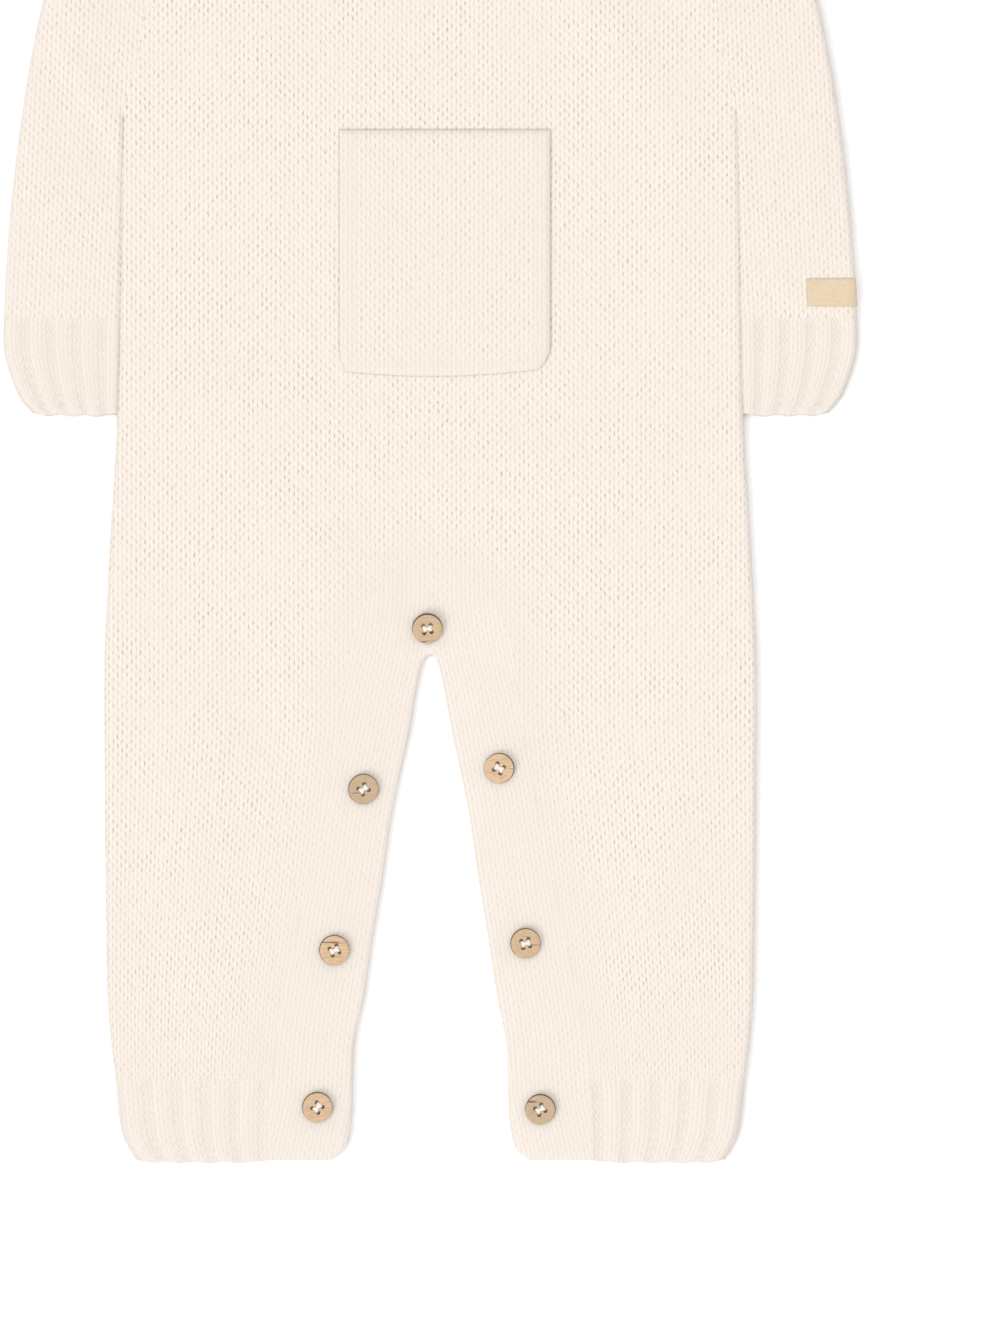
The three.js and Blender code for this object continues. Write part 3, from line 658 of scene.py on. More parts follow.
def stitch_pattern(tree, u, v):
    """Height of stockinette and its holes, from columns and rows counted in stitches"""
    in_column = add(tree, "Math", [u], operation="FRACT")
    from_middle = add(tree, "Math", [in_column, 2.0, -1.0], operation="MULTIPLY_ADD")
    side = add(tree, "Math", [from_middle], operation="ABSOLUTE")
    # Each hole leans up between its two legs, so 1.8 sets its middle half a row from its neighbours'
    moved_up = add(tree, "Math", [v, 0.15], operation="ADD")
    leaning = add(tree, "Math", [side, -1.8, moved_up], operation="MULTIPLY_ADD")
    phase = add(tree, "Math", [leaning], operation="FRACT")
    half_turn = add(tree, "Math", [phase, math.pi], operation="MULTIPLY")
    yarn_along = add(tree, "Math", [half_turn], operation="SINE")
    rows = add(tree, "Math", [1.0, yarn_along], operation="SUBTRACT")
    full_turn = add(tree, "Math", [u, 2 * math.pi], operation="MULTIPLY")
    wave = add(tree, "Math", [full_turn], operation="SINE")
    yarn_across = add(tree, "Math", [wave], operation="ABSOLUTE")
    legs = add(tree, "Math", [1.0, yarn_across], operation="SUBTRACT")
    hole = add(tree, "Math", [rows, legs], operation="MULTIPLY")
    sunk_legs = add(tree, "Math", [legs, 0.25], operation="MULTIPLY")
    sunk = add(tree, "Math", [rows, 0.25, sunk_legs], operation="MULTIPLY_ADD")
    height = add(tree, "Math", [1.0, sunk], operation="SUBTRACT")
    return rows, legs, hole, height


def purl_pattern(tree, u, v, hole, height):
    """The same with every third column purl, whose loops make two zigzag lines"""
    thirds = add(tree, "Math", [u, 3.0], operation="DIVIDE")
    third = add(tree, "Math", [thirds], operation="FRACT")
    three_columns = add(tree, "Math", [third, 3.0], operation="MULTIPLY")
    centred = add(tree, "Math", [three_columns, 0.5], operation="SUBTRACT")
    beside = add(tree, "Math", [centred], operation="ABSOLUTE")
    purl = add(tree, "MapRange", {0: beside, 1: 0.75, 2: 0.55})
    up_rows = add(tree, "Math", [v, 2 * math.pi], operation="MULTIPLY")
    to_and_fro = add(tree, "Math", [up_rows], operation="SINE")
    sway = add(tree, "Math", [to_and_fro, PURL["sway"]], operation="MULTIPLY")
    lines = add(tree, "Math", [centred, PURL["lines"], sway], operation="MULTIPLY_ADD")
    zigzag = add(tree, "Math", [lines], operation="COSINE")
    loops = add(tree, "Math", [zigzag, 0.5, 0.5], operation="MULTIPLY_ADD")
    # Painted shade between the purl loops, in the place of the holes
    between_loops = add(tree, "Math", [loops, -0.6, 0.55], operation="MULTIPLY_ADD")
    rib_height = add(tree, "Mix", {0: purl, 2: height, 3: loops})
    rib_hole = add(tree, "Mix", {0: purl, 2: hole, 3: between_loops})
    return rib_hole, rib_height


def uneven_stitches(tree, u, v, mottle):
    """How open each hole is: patches are stretched, and no hole is quite like its neighbours"""
    stretch = add(tree, "MapRange", {0: mottle, 1: 0.35, 2: 0.65, 3: 0.55, 4: 1.15})
    shifted = add(tree, "Math", [u, 2.0, 0.5], operation="MULTIPLY_ADD")
    column = add(tree, "Math", [shifted], operation="FLOOR")
    half_column = add(tree, "Math", [column, 0.5], operation="MULTIPLY")
    odd = add(tree, "Math", [half_column], operation="FRACT")
    staggered = add(tree, "Math", [v, odd], operation="ADD")
    row = add(tree, "Math", [staggered], operation="FLOOR")
    cell = add(tree, "CombineXYZ", [column, row])
    chance = add(tree, "TexWhiteNoise", {"Vector": cell}).outputs["Value"]
    uneven = add(tree, "MapRange", {0: chance, 3: 0.3, 4: 1.35})
    return add(tree, "Math", [stretch, uneven], operation="MULTIPLY")


def knit_material(name, relief_mm, rib=False):
    """Soft cotton yarn, loosely plied: matt, a little sheen at grazing angles, shade in each hole"""
    material, tree = new_material(name)
    # dark stands for painted shade in the holes and grooves between stitches
    yarn, dark = (*settings().knit_colour, 1), (*settings().hole_shade_colour, 1)
    place = add(tree, "TexCoord").outputs["Object"]
    # Loose fibres 0.8 mm apart, drawn as coarse as the picture can show
    fibres = add(tree, "TexNoise", {"Vector": place, "Scale": 1.3 / MM, "Detail": 2.0})
    # Patches 26 mm wide where the knit is a little tighter or looser
    mottle = add(tree, "TexNoise", {"Vector": place, "Scale": 0.038 / MM, "Detail": 3.0})
    # No stitch is quite like the next: over 2.4 mm the pattern wanders by a tenth of a stitch
    wander = add(tree, "TexNoise", {"Vector": place, "Scale": 0.42 / MM, "Detail": 1.0})
    moved = add(tree, "VectorMath", {
        0: wander.outputs["Color"], 1: (0.26, 0.4, 0.0), 2: add(tree, "UVMap", uv_map="stitches"),
    }, operation="MULTIPLY_ADD")
    u, v = add(tree, "SeparateXYZ", [moved]).outputs[:2]
    rows, legs, hole, height = stitch_pattern(tree, u, v)
    if rib:
        hole, height = purl_pattern(tree, u, v, hole, height)
    # Painted shade in the holes: small, and darker where the knit is stretched open
    openness = add(tree, "Attribute", attribute_name="openness").outputs["Fac"]
    deep = add(tree, "MapRange", {0: hole, 1: 0.16, 2: 0.78, 3: 0.0, 4: 0.66})
    open_holes = add(tree, "Math", [deep, openness], operation="MULTIPLY")
    uneven = uneven_stitches(tree, u, v, mottle)
    holes = add(tree, "Math", [open_holes, uneven], operation="MULTIPLY")
    # Painted shade in the grooves beside the legs and between the rows
    beside_legs = add(tree, "Math", [legs, 0.13], operation="MULTIPLY")
    groove = add(tree, "Math", [rows, 0.04, beside_legs], operation="MULTIPLY_ADD")
    shade = add(tree, "Math", [holes, groove], operation="ADD")
    fuzzy_shade = add(tree, "Math", [fibres, 0.16, shade], operation="MULTIPLY_ADD")
    share = add(tree, "Clamp", [fuzzy_shade])
    colour = add(tree, "Mix", {0: share, 6: yarn, 7: dark}, data_type="RGBA").outputs[2]
    # Close knit returns less light from inside than open knit
    spread = add(tree, "MapRange", {0: mottle, 1: 0.3, 2: 0.7, 3: 0.985, 4: 1.0})
    glow = add(tree, "Math", [openness, 0.05, 0.95], operation="MULTIPLY_ADD")
    level = add(tree, "Math", [spread, glow], operation="MULTIPLY")
    mottled = add(tree, "VectorMath", {0: colour, "Scale": level}, operation="SCALE")
    rough = add(tree, "Math", [fibres, 0.5, height], operation="MULTIPLY_ADD")
    bump = add(tree, "Bump", {"Height": rough, "Distance": relief_mm * MM, "Strength": 0.8})
    cloth = add(tree, "BsdfPrincipled", {
        "Base Color": mottled, "Roughness": 0.95, "Sheen Weight": 0.25, "Sheen Roughness": 0.5,
        "Specular IOR Level": 0.2, "Normal": bump,
    })
    add(tree, "OutputMaterial", [cloth])
    return material


MATERIALS = {}


def material_of(name):
    """Each finish is made once and shared"""
    makers = {
        "cotton_stockinette": lambda: knit_material("cotton_stockinette", 0.3),
        "cotton_close_knit": lambda: knit_material("cotton_close_knit", 0.2),
        "cotton_rib": lambda: knit_material("cotton_rib", 0.25, rib=True),
        "turned_coconut_wood": wood_material,
        "bare_suede_tab": label_material,
        "cotton_thread": thread_material,
    }
    if name not in MATERIALS:
        MATERIALS[name] = makers[name]()
    return MATERIALS[name]


def wood_material():
    """Light wood turned and oiled: fine streaked grain, soft satin face, brown where it was cut, and
    painted shade on the walls of its holes
    """
    material, tree = new_material("turned_coconut_wood")
    place = add(tree, "TexCoord").outputs["Object"]
    # Grain runs across the button, 0.5 mm wide
    stretched = add(tree, "Mapping", {"Vector": place, "Scale": (0.26 / MM, 1.9 / MM, 0.9 / MM)})
    grain = add(tree, "TexNoise", {"Vector": stretched, "Scale": 1.0, "Detail": 4.0})
    light = add(tree, "ValToRGB", [grain])
    low, high = light.color_ramp.elements
    low.position, low.color = 0.3, (*linear("#bb9973"), 1)
    high.position, high.color = 0.62, (*settings().wood_colour, 1)
    # A dark fibre here and there, about a millimetre wide, as in any palm wood
    long_fibres = add(tree, "Mapping", {"Vector": place, "Scale": (0.06 / MM, 0.9 / MM, 0.06 / MM)})
    fibre = add(tree, "TexNoise", {"Vector": long_fibres, "Scale": 1.0, "Detail": 1.0})
    streak = add(tree, "MapRange", {0: fibre, 1: 0.7, 2: 0.74, 3: 0.0, 4: 0.75})
    # Some buttons were cut from duller wood
    tone = add(tree, "Attribute", attribute_name="tone").outputs["Fac"]
    toned = add(tree, "Mix", {
        0: tone, 6: light, 7: (*linear("#b09979"), 1),
    }, data_type="RGBA").outputs[2]
    # 1 on the browned sawn rim and on the walls of the holes, where the dark brown is painted shade
    sawn = add(tree, "Attribute", attribute_name="sawn_rim_and_hole_shade").outputs["Fac"]
    dark = add(tree, "Math", [streak, sawn], operation="MAXIMUM")
    browned_and_hole_shaded = add(tree, "Mix", {
        0: dark, 6: toned, 7: (*linear("#2e1d12"), 1),
    }, data_type="RGBA").outputs[2]
    bump = add(tree, "Bump", {"Height": grain, "Distance": 0.1 * MM, "Strength": 0.4})
    wood = add(tree, "BsdfPrincipled", {"Base Color": browned_and_hole_shaded, "Roughness": 0.48, "Normal": bump})
    add(tree, "OutputMaterial", [wood])
    return material


def label_material():
    """Thin suede-like tab: matt, finely mottled"""
    material, tree = new_material("bare_suede_tab")
    place = add(tree, "TexCoord").outputs["Object"]
    # Nap 1.1 mm across
    nap = add(tree, "TexNoise", {"Vector": place, "Scale": 0.9 / MM, "Detail": 4.0})
    colour = add(tree, "ValToRGB", [nap])
    low, high = colour.color_ramp.elements
    low.position, low.color = 0.3, (*linear("#d2bd9d"), 1)
    high.position, high.color = 0.6, (*settings().label_colour, 1)
    bump = add(tree, "Bump", {"Height": nap, "Distance": 0.15 * MM, "Strength": 0.5})
    suede = add(tree, "BsdfPrincipled", {"Base Color": colour, "Roughness": 0.8, "Normal": bump})
    add(tree, "OutputMaterial", [suede])
    return material


def thread_material():
    """Twisted cotton thread: matt, off-white"""
    material, tree = new_material("cotton_thread")
    place = add(tree, "TexCoord").outputs["Object"]
    # Twists 0.3 mm long
    twist = add(tree, "TexNoise", {"Vector": place, "Scale": 3.5 / MM, "Detail": 2.0})
    colour = add(tree, "ValToRGB", [twist])
    low, high = colour.color_ramp.elements
    low.position, low.color = 0.3, (*linear("#dcd5ca"), 1)
    high.position, high.color = 0.6, (*settings().thread_colour, 1)
    thread = add(tree, "BsdfPrincipled", {"Base Color": colour, "Roughness": 0.9})
    add(tree, "OutputMaterial", [thread])
    return material


# The body: front and back

def body_side():
    """Right side of the body from the cuff to the underarm"""
    y = np.linspace(CUFF_Y - LINKED, UNDERARM_Y, 180)
    return np.column_stack([side_x(y), y])


def armhole_seam():
    """Right armhole from the underarm to the shoulder, bowed towards the body"""
    t = np.linspace(0, 1, 40)
    under = np.array([side_x(UNDERARM_Y), UNDERARM_Y])
    line = under + t[:, None] * (SHOULDER[0] - under)
    line[:, 0] -= ARMHOLE_BOW * 4 * t * (1 - t)
    return line


def body_outline(neck):
    """Right half from the cuff seam round to the middle of the neck, then the left, then the legs"""
    seam = beside(SEAM_LINE, LINKED)
    low = CUFF_Y - LINKED
    leg = seam[seam[:, 1] > low]
    leg = np.vstack([[np.interp(low, seam[:, 1], seam[:, 0]), low], leg])
    leg[-1, 0] = 0
    cuff = np.array([leg[0], (side_x(low), low)])
    right = [
        (cuff, "seam"), (body_side(), "turned"), (armhole_seam(), "seam"),
        (SHOULDER, "turned"), (through(neck)[::-1], "seam"),
    ]
    left = [(mirrored(line), kind) for line, kind in right[::-1]]
    legs = [(mirrored(leg[::-1]), "seam"), (leg[::-1], "seam")]
    return closed_outline(right + left + legs)


def body_turns():
    """The folded edges of the body: both sides and both shoulders"""
    side = body_side()
    return [side, mirrored(side), SHOULDER, mirrored(SHOULDER)]


def leg_spread(y):
    """How far the columns beside the band have moved out with it, below the crotch"""
    below = SPREAD["below"]
    return SPREAD["share"] * np.where(y < below, seam_x(y) - seam_x(below), 0.0)


def body_grain():
    """Columns run straight up the middle and side, and lean out beside the band"""
    width, height = stitch_size()

    def scale(y):
        return 1 + leg_spread(y) / (side_x(y) - seam_x(y))

    def shift(y):
        return -leg_spread(y) * side_x(y) / (side_x(y) - seam_x(y))

    return Grain(width, height, scale, shift, both_sides=True, wave=0.7)


def body_relief(stitch, place):
    """How far the yarn stands above or below the cloth's middle"""
    relief = settings().stitch_relief / MM
    return relief * (stockinette(stitch) - 0.7 + 0.1 * unevenness(stitch))


def seam_tree():
    return tree_of(np.vstack([SEAM_LINE, mirrored(SEAM_LINE)]))


def body_openness(place):
    """Stitches close up beside the button band, and somewhat towards the leg cuffs"""
    gap = distances(seam_tree(), place[:, :2])[0]
    rise = np.clip((place[:, 1] - CUFF_Y) / 38, 0, 1)
    return (1 - 0.75 * np.exp(-(gap / 16) ** 2)) * (0.6 + 0.4 * rise)


class ROMPER_OT_body(bpy.types.Operator):
    """Make the front and the back, each one panel down to the leg cuffs"""

    bl_idname = "romper.body"
    bl_label = "Front and back"

    def execute(self, context):
        knit = material_of("cotton_stockinette")
        turns = body_turns()
        outline = body_outline(FRONT_NECK)
        gap = SEAM_GAP / 2

        def lay_front(flat):
            return laid(flat, turns, 1, HALF + gap, FOLD_RADIUS, folds)

        def front_relief(stitch, place):
            return body_relief(stitch, place) * (0.3 + 0.7 * body_openness(place))

        layer = knit_layer(outline, body_grain(), lay_front, front_relief, KNIT_STEPS)
        front = cloth_object("front_panel", [layer], knit, ["front"], body_openness)
        outline = body_outline(BACK_NECK)

        def lay_back(flat):
            return laid(flat, turns, -1, HALF - gap, FOLD_RADIUS, no_lift)

        def turned_part(flat):
            beside_edge = np.abs(flat[:, 0]) > side_x(flat[:, 1]) - BACK_SEEN["from_side"]
            return beside_edge | (flat[:, 1] > BACK_SEEN["above"])

        def back_relief(stitch, place):
            raised = np.clip(place[:, 2] / FOLD_RADIUS, 0, 1)
            return body_relief(stitch, place) * raised

        layer = knit_layer(
            outline, body_grain(), lay_back, back_relief, BACK_STEPS, up=-1, fine=turned_part
        )
        back = cloth_object("back_panel", [layer], knit, ["back"])
        return {"FINISHED"}


# The button band

def band_outline():
    """From hem to hem: up one leg's seam, over the crotch, and back along the free edge"""
    seam = beside(SEAM_LINE, -LINKED)
    seam[0, 1], seam[-1, 0] = HEM_Y, 0
    edge = EDGE_LINE[::-1]
    hem = np.array([edge[-1], seam[0]])
    return closed_outline([
        (hem, "free"), (seam, "seam"), (mirrored(seam), "seam"), (mirrored(hem), "free"),
        (mirrored(edge), "free"), (edge, "free"),
    ])


def band_grain():
    """Columns run beside the free edge of each leg, and straight above the crotch"""
    width, height = stitch_size()
    # Yarn can't follow a sharp bend, so the edge is averaged over this stretch below and above
    near = np.linspace(-26, 14, 21)

    def shift(y):
        return -np.mean([opening_x(y + step) for step in near], axis=0)

    return Grain(width, height, shift=shift, both_sides=True)


def band_lift():
    """The band settles towards its free edge, where only two layers lie on each other"""
    edges = tree_of(np.vstack([EDGE_LINE, mirrored(EDGE_LINE)]))
    seams = seam_tree()

    def lift(plan):
        to_edge, to_seam = distances(edges, plan)[0], distances(seams, plan)[0]
        share = to_edge / (to_edge + to_seam)
        return folds(plan) * share - BAND_SETTLE * (1 - share) ** 2

    return lift


class ROMPER_OT_band(bpy.types.Operator):
    """Make the button band in two layers, along both inner legs and over the crotch"""

    bl_idname = "romper.band"
    bl_label = "Button band"

    def execute(self, context):
        knit = material_of("cotton_close_knit")
        outline = band_outline()
        relief = settings().band_relief / MM
        lift = band_lift()

        def lay_front(flat):
            return laid(flat, [], 1, HALF + SEAM_GAP / 2, FOLD_RADIUS, lift)

        def close_relief(stitch, place):
            legs = np.abs(np.sin(2 * np.pi * stitch[:, 0]))
            soft = 0.55 * stockinette(stitch) + 0.45 * legs
            return relief * (soft - 0.5 + 0.15 * unevenness(stitch))

        layer = knit_layer(outline, band_grain(), lay_front, close_relief, KNIT_STEPS, round_by=1.0)
        front = cloth_object("band_front", [layer], knit, ["button_band_front"], close_knit)

        def lay_back(flat):
            return laid(flat, [], -1, HALF - SEAM_GAP / 2, FOLD_RADIUS, no_lift)

        layer = knit_layer(outline, band_grain(), lay_back, no_relief, None, up=-1, round_by=0)
        back = cloth_object("band_back", [layer], knit, ["button_band_back"])
        return {"FINISHED"}


# Ribbed cuffs

def soft_hem(start, end, rib):
    """A cast-off hem: it sags a little, and more where a rib stands than at a channel"""
    share = np.linspace(0, 1, 60)
    line = start + share[:, None] * (end - start)
    held = np.clip(7 * share, 0, 1) * np.clip(7 * (1 - share), 0, 1)
    line[:, 1] -= held * (HEM_SAG["mean"] - HEM_SAG["wave"] * np.cos(2 * np.pi * line[:, 0] / rib))
    return line


def rib_relief(top=None, start=None):
    """Two knit columns, then a sunk purl column with its zigzag of small loops"""

    def relief(stitch, place):
        u, v = stitch[:, 0], stitch[:, 1]
        across = (u - 0.5 + 1.5) % 3 - 1.5
        sunk = 0.5 + 0.5 * np.cos(np.pi * np.clip(np.abs(across) / 1.4, 0, 1))
        if start is not None:
            sunk *= np.clip((np.abs(place[:, 0]) - start(place[:, 1])) / FADE["beside_band"], 0, 1)
        if top is not None:
            sunk *= np.clip((top + FADE["into_seam"] - place[:, 1]) / FADE["below_seam"], 0, 1)
        sway = PURL["sway"] * np.sin(2 * np.pi * v)
        loops = 0.12 * np.cos(PURL["lines"] * across + sway)
        knit = 0.2 * (stockinette(stitch) - 0.6)
        height = knit * (1 - sunk) + (loops - CHANNEL_DEPTH) * sunk
        return height * np.clip(place[:, 2] - HALF, 0, 1)

    return relief


def leg_cuff_layers(side):
    """Cuff of one leg: front and back in one, joined round the outer side"""
    top, bottom = CUFF_Y + LINKED, HEM_Y
    seam_side = SEAM_LINE[(SEAM_LINE[:, 1] < top) & (SEAM_LINE[:, 1] > bottom)]
    seam_side = np.vstack([(seam_x(bottom), bottom), seam_side, (seam_x(top), top)])
    seam_side = seam_side - (LINKED, 0)
    y = np.linspace(bottom, top, 30)
    outer = np.column_stack([side_x(y), y])
    outline = closed_outline([
        (soft_hem(seam_side[0], outer[0], LEG_RIB), "free"), (outer, "joined"),
        (np.array([outer[-1], seam_side[-1]]), "seam"), (seam_side[::-1], "seam"),
    ])
    wale = LEG_RIB / 3
    start, end = seam_x(CUFF_Y) + BAND_CLEAR, side_x(CUFF_Y) - FOLD_RADIUS

    def scale(y):
        return (end - start) / (side_x(y) - FOLD_RADIUS - seam_x(y) - BAND_CLEAR)

    def shift(y):
        return start - scale(y) * (seam_x(y) + BAND_CLEAR) - LEG_CHANNEL + wale / 2

    grain = Grain(wale, stitch_size()[1], scale, shift)
    return layered(outline, grain, [outer], side, rib_relief(CUFF_Y, seam_x), RIB_STEPS)


def mirror_layer(layer):
    """The same layer for the other side of the garment"""
    points, faces, stitch, linked = layer
    return points * (-1, 1, 1), faces[:, ::-1], stitch, linked


def layered(outline, grain, turns, side, relief, steps, lift=no_lift):
    """The two layers of a flat tube, top and underside, on one side of the garment"""

    def lay_top(flat):
        return laid(flat, turns, 1, HALF, HALF, lift)

    def lay_under(flat):
        return laid(flat, turns, -1, HALF, HALF, no_lift)

    top = knit_layer(outline, grain, lay_top, relief, steps)
    under = knit_layer(outline, grain, lay_under, no_relief, None, up=-1, round_by=0)
    if side == "right":
        return [top, under]
    return [mirror_layer(layer) for layer in (top, under)]


class ROMPER_OT_leg_cuffs(bpy.types.Operator):
    """Make the ribbed cuffs of both legs, open along the button band"""

    bl_idname = "romper.leg_cuffs"
    bl_label = "Leg cuffs"

    def execute(self, context):
        for side in ("right", "left"):
            cuff = cloth_object(
                f"leg_rib_{side}", leg_cuff_layers(side), material_of("cotton_rib"),
                [f"leg_cuff_{side}"], close_knit,
            )
        return {"FINISHED"}


# Sleeves

def beside_body(start, end, count):
    """The body side of the right sleeve or its cuff, from one height down to another"""
    y = np.linspace(start, end, count)
    return np.column_stack([side_x(y) + SLEEVE_BESIDE_BODY, y])


def sleeve_outline():
    """Outline of the right sleeve laid flat, and its two folded edges"""
    inner = beside_body(UNDERARM_Y, SLEEVE_EDGE[-1, 1], 60)
    outer = through(SLEEVE_EDGE)[::-1]
    armhole = armhole_seam()[::-1] - (LINKED, 0)
    armhole[0] = outer[-1]
    armhole[-1] = inner[0]
    return closed_outline([
        (inner, "joined"), (np.array([inner[-1], outer[0]]), "seam"), (outer, "joined"),
        (armhole, "seam"),
    ]), [inner, outer]


def sleeve_openness(place):
    """Stitches of the sleeves, a little closer than the body's"""
    return np.full(len(place), 0.78)


class ROMPER_OT_sleeves(bpy.types.Operator):
    """Make both sleeves and their ribbed cuffs, folded down beside the body"""

    bl_idname = "romper.sleeves"
    bl_label = "Sleeves"

    def execute(self, context):
        width, height = stitch_size()
        outline, turns = sleeve_outline()

        def shift(y):
            return SLEEVE_LEAN * (y - 155)

        grain = Grain(width, height, shift=shift, wave=0.3)

        def lift(plan):
            return folds(plan, SLEEVE_FOLDS)

        for side in ("right", "left"):
            layers = layered(outline, grain, turns, side, body_relief, KNIT_STEPS, lift)
            sleeve = cloth_object(
                f"sleeve_tube_{side}", layers, material_of("cotton_stockinette"),
                [f"sleeve_{side}"], sleeve_openness,
            )
            self.make_cuff(side)
        return {"FINISHED"}

    def make_cuff(self, side):
        """Its channels converge with its two sides"""
        outer = through(SLEEVE_CUFF_EDGE)[::-1]
        inner = beside_body(SLEEVE_CUFF_EDGE[0, 1], SLEEVE_CUFF_HEM_Y, 20)
        outline = closed_outline([
            (inner, "joined"), (soft_hem(inner[-1], outer[0], SLEEVE_HEM_RIB), "free"),
            (outer, "joined"), (np.array([outer[-1], inner[0]]), "seam"),
        ])
        far = outer[outer[:, 1].argsort()]

        def reach(y):
            start = side_x(y) + SLEEVE_BESIDE_BODY + FOLD_RADIUS
            return start, np.interp(y, far[:, 1], far[:, 0]) - FOLD_RADIUS - start

        def scale(y):
            return 3 / (SLEEVE_RIB * reach(y)[1])

        def shift(y):
            start, across = reach(y)
            return 0.5 - 3 * SLEEVE_CHANNEL / SLEEVE_RIB - scale(y) * start

        grain = Grain(1.0, stitch_size()[1], scale, shift)
        relief = rib_relief(SLEEVE_CUFF_EDGE[0, 1])
        layers = layered(outline, grain, [inner, outer], side, relief, RIB_STEPS)
        cuff = cloth_object(
            f"sleeve_rib_{side}", layers, material_of("cotton_rib"), [f"sleeve_cuff_{side}"],
            close_knit,
        )


# Neckband

def neck_station(curve, t, upper, across):
    """Points across the neckband at a share of its half arc"""
    index = t * (len(curve) - 1)
    place = np.array([np.interp(index, np.arange(len(curve)), curve[:, k]) for k in (0, 1)])
    ahead = np.array([np.interp(index + 0.5, np.arange(len(curve)), curve[:, k]) for k in (0, 1)])
    behind = np.array([np.interp(index - 0.5, np.arange(len(curve)), curve[:, k]) for k in (0, 1)])
    along = unit(ahead - behind)
    # Across the arc, turning into the line of the shoulder, and straight up in the middle
    square = np.array([-along[1], along[0]])
    towards = square + (ALONG_SHOULDER - square) * t ** 3
    if t == 0:
        towards = np.array([0.0, 1.0])
    plan = place + across[:, None] * unit(towards)
    if not upper:
        return np.column_stack([plan, 0 * across]), np.column_stack([plan, 0 * across + WALL])
    settle = NECKBAND_SETTLE * (across / NECKBAND_WIDTH) ** 2
    z = TOP - settle
    return np.column_stack([plan, z]), np.column_stack([plan, z - WALL])


def neck_shares(curve):
    """Where sections of the neckband stand on a half arc, as shares of it, up to the fold"""
    far = travelled(curve)
    keep = far[-1] - FOLD_RADIUS - SEAM_GAP
    places = np.linspace(0, keep, round(keep / NECKBAND_STEP) + 1)
    return np.interp(places, far, np.arange(len(curve))) / (len(curve) - 1)


def neck_fold(across):
    """Sections of the neckband where it turns from the front to the back at the shoulder"""
    inward = np.array([-ALONG_SHOULDER[1], ALONG_SHOULDER[0]])
    sections = []
    for angle in np.radians(np.arange(70, -71, -20)):
        faces = []
        for depth in (0, WALL):
            shift = inward * (FOLD_RADIUS - (FOLD_RADIUS - depth) * math.cos(angle))
            plan = SHOULDER[1] + across[:, None] * ALONG_SHOULDER + shift
            height = HALF + (HALF - depth) * math.sin(angle)
            faces.append(np.column_stack([plan, 0 * across + height]))
        sections.append(tuple(faces))
    return sections


def open_ring(outer, inner, stitch):
    """Layer of half the neckband, open at the two middles where the halves are joined"""
    index = np.arange(outer.shape[0] * outer.shape[1]).reshape(outer.shape[:2])
    below = index.size
    a, b, c, d = index[:-1, :-1], index[:-1, 1:], index[1:, 1:], index[1:, :-1]
    top = np.vstack([np.stack(corners, axis=-1).reshape(-1, 3) for corners in ((a, c, d), (a, b, c))])
    walls = []
    for here, after in ((index[:-1, 0], index[1:, 0]), (index[1:, -1], index[:-1, -1])):
        walls.append(np.column_stack([here, after, after + below]))
        walls.append(np.column_stack([here, after + below, here + below]))
    faces = np.vstack([top, top[:, ::-1] + below, *walls])
    points = np.vstack([outer.reshape(-1, 3), inner.reshape(-1, 3)])
    linked = np.zeros(len(points), dtype=bool)
    linked[index[:, 0]] = True
    return points, faces, np.vstack([stitch, stitch]), linked


class ROMPER_OT_neckband(bpy.types.Operator):
    """Make the ribbed neckband: the front arc over the back arc, folded at the shoulders"""

    bl_idname = "romper.neckband"
    bl_label = "Neckband"

    def execute(self, context):
        across = np.concatenate([[-LINKED], np.linspace(1, NECKBAND_WIDTH - 1, 24), [NECKBAND_WIDTH]])
        front, back = through(FRONT_NECK, 20), through(BACK_NECK, 20)
        sections = [neck_station(front, t, True, across) for t in neck_shares(front)]
        sections += neck_fold(across)
        sections += [neck_station(back, t, False, across) for t in neck_shares(back)[::-1]]
        outer, inner = (np.array([section[k] for section in sections]) for k in (0, 1))
        # Ribs stand across the band, counted along its middle
        wale = NECK_RIB / 3
        u, v = np.meshgrid(
            travelled(outer[:, len(across) // 2]) / wale + 2.0, across / stitch_size()[1], indexing="ij"
        )
        stitch = np.column_stack([u.ravel(), v.ravel()])
        relief = rib_relief()(stitch, outer.reshape(-1, 3)).reshape(u.shape)
        soft = np.clip((NECKBAND_WIDTH - across) / 1.2, 0, 1)
        upper = np.clip(outer[..., 2] - HALF, 0, 1)
        outer[..., 2] += relief * soft - 0.9 * upper * (across > NECKBAND_WIDTH - 0.5)
        half = open_ring(outer, inner, stitch)
        band = cloth_object(
            "neck_rib", [half, mirror_layer(half)], material_of("cotton_rib"), ["neckband"],
            close_knit,
        )
        return {"FINISHED"}


# Pocket and label

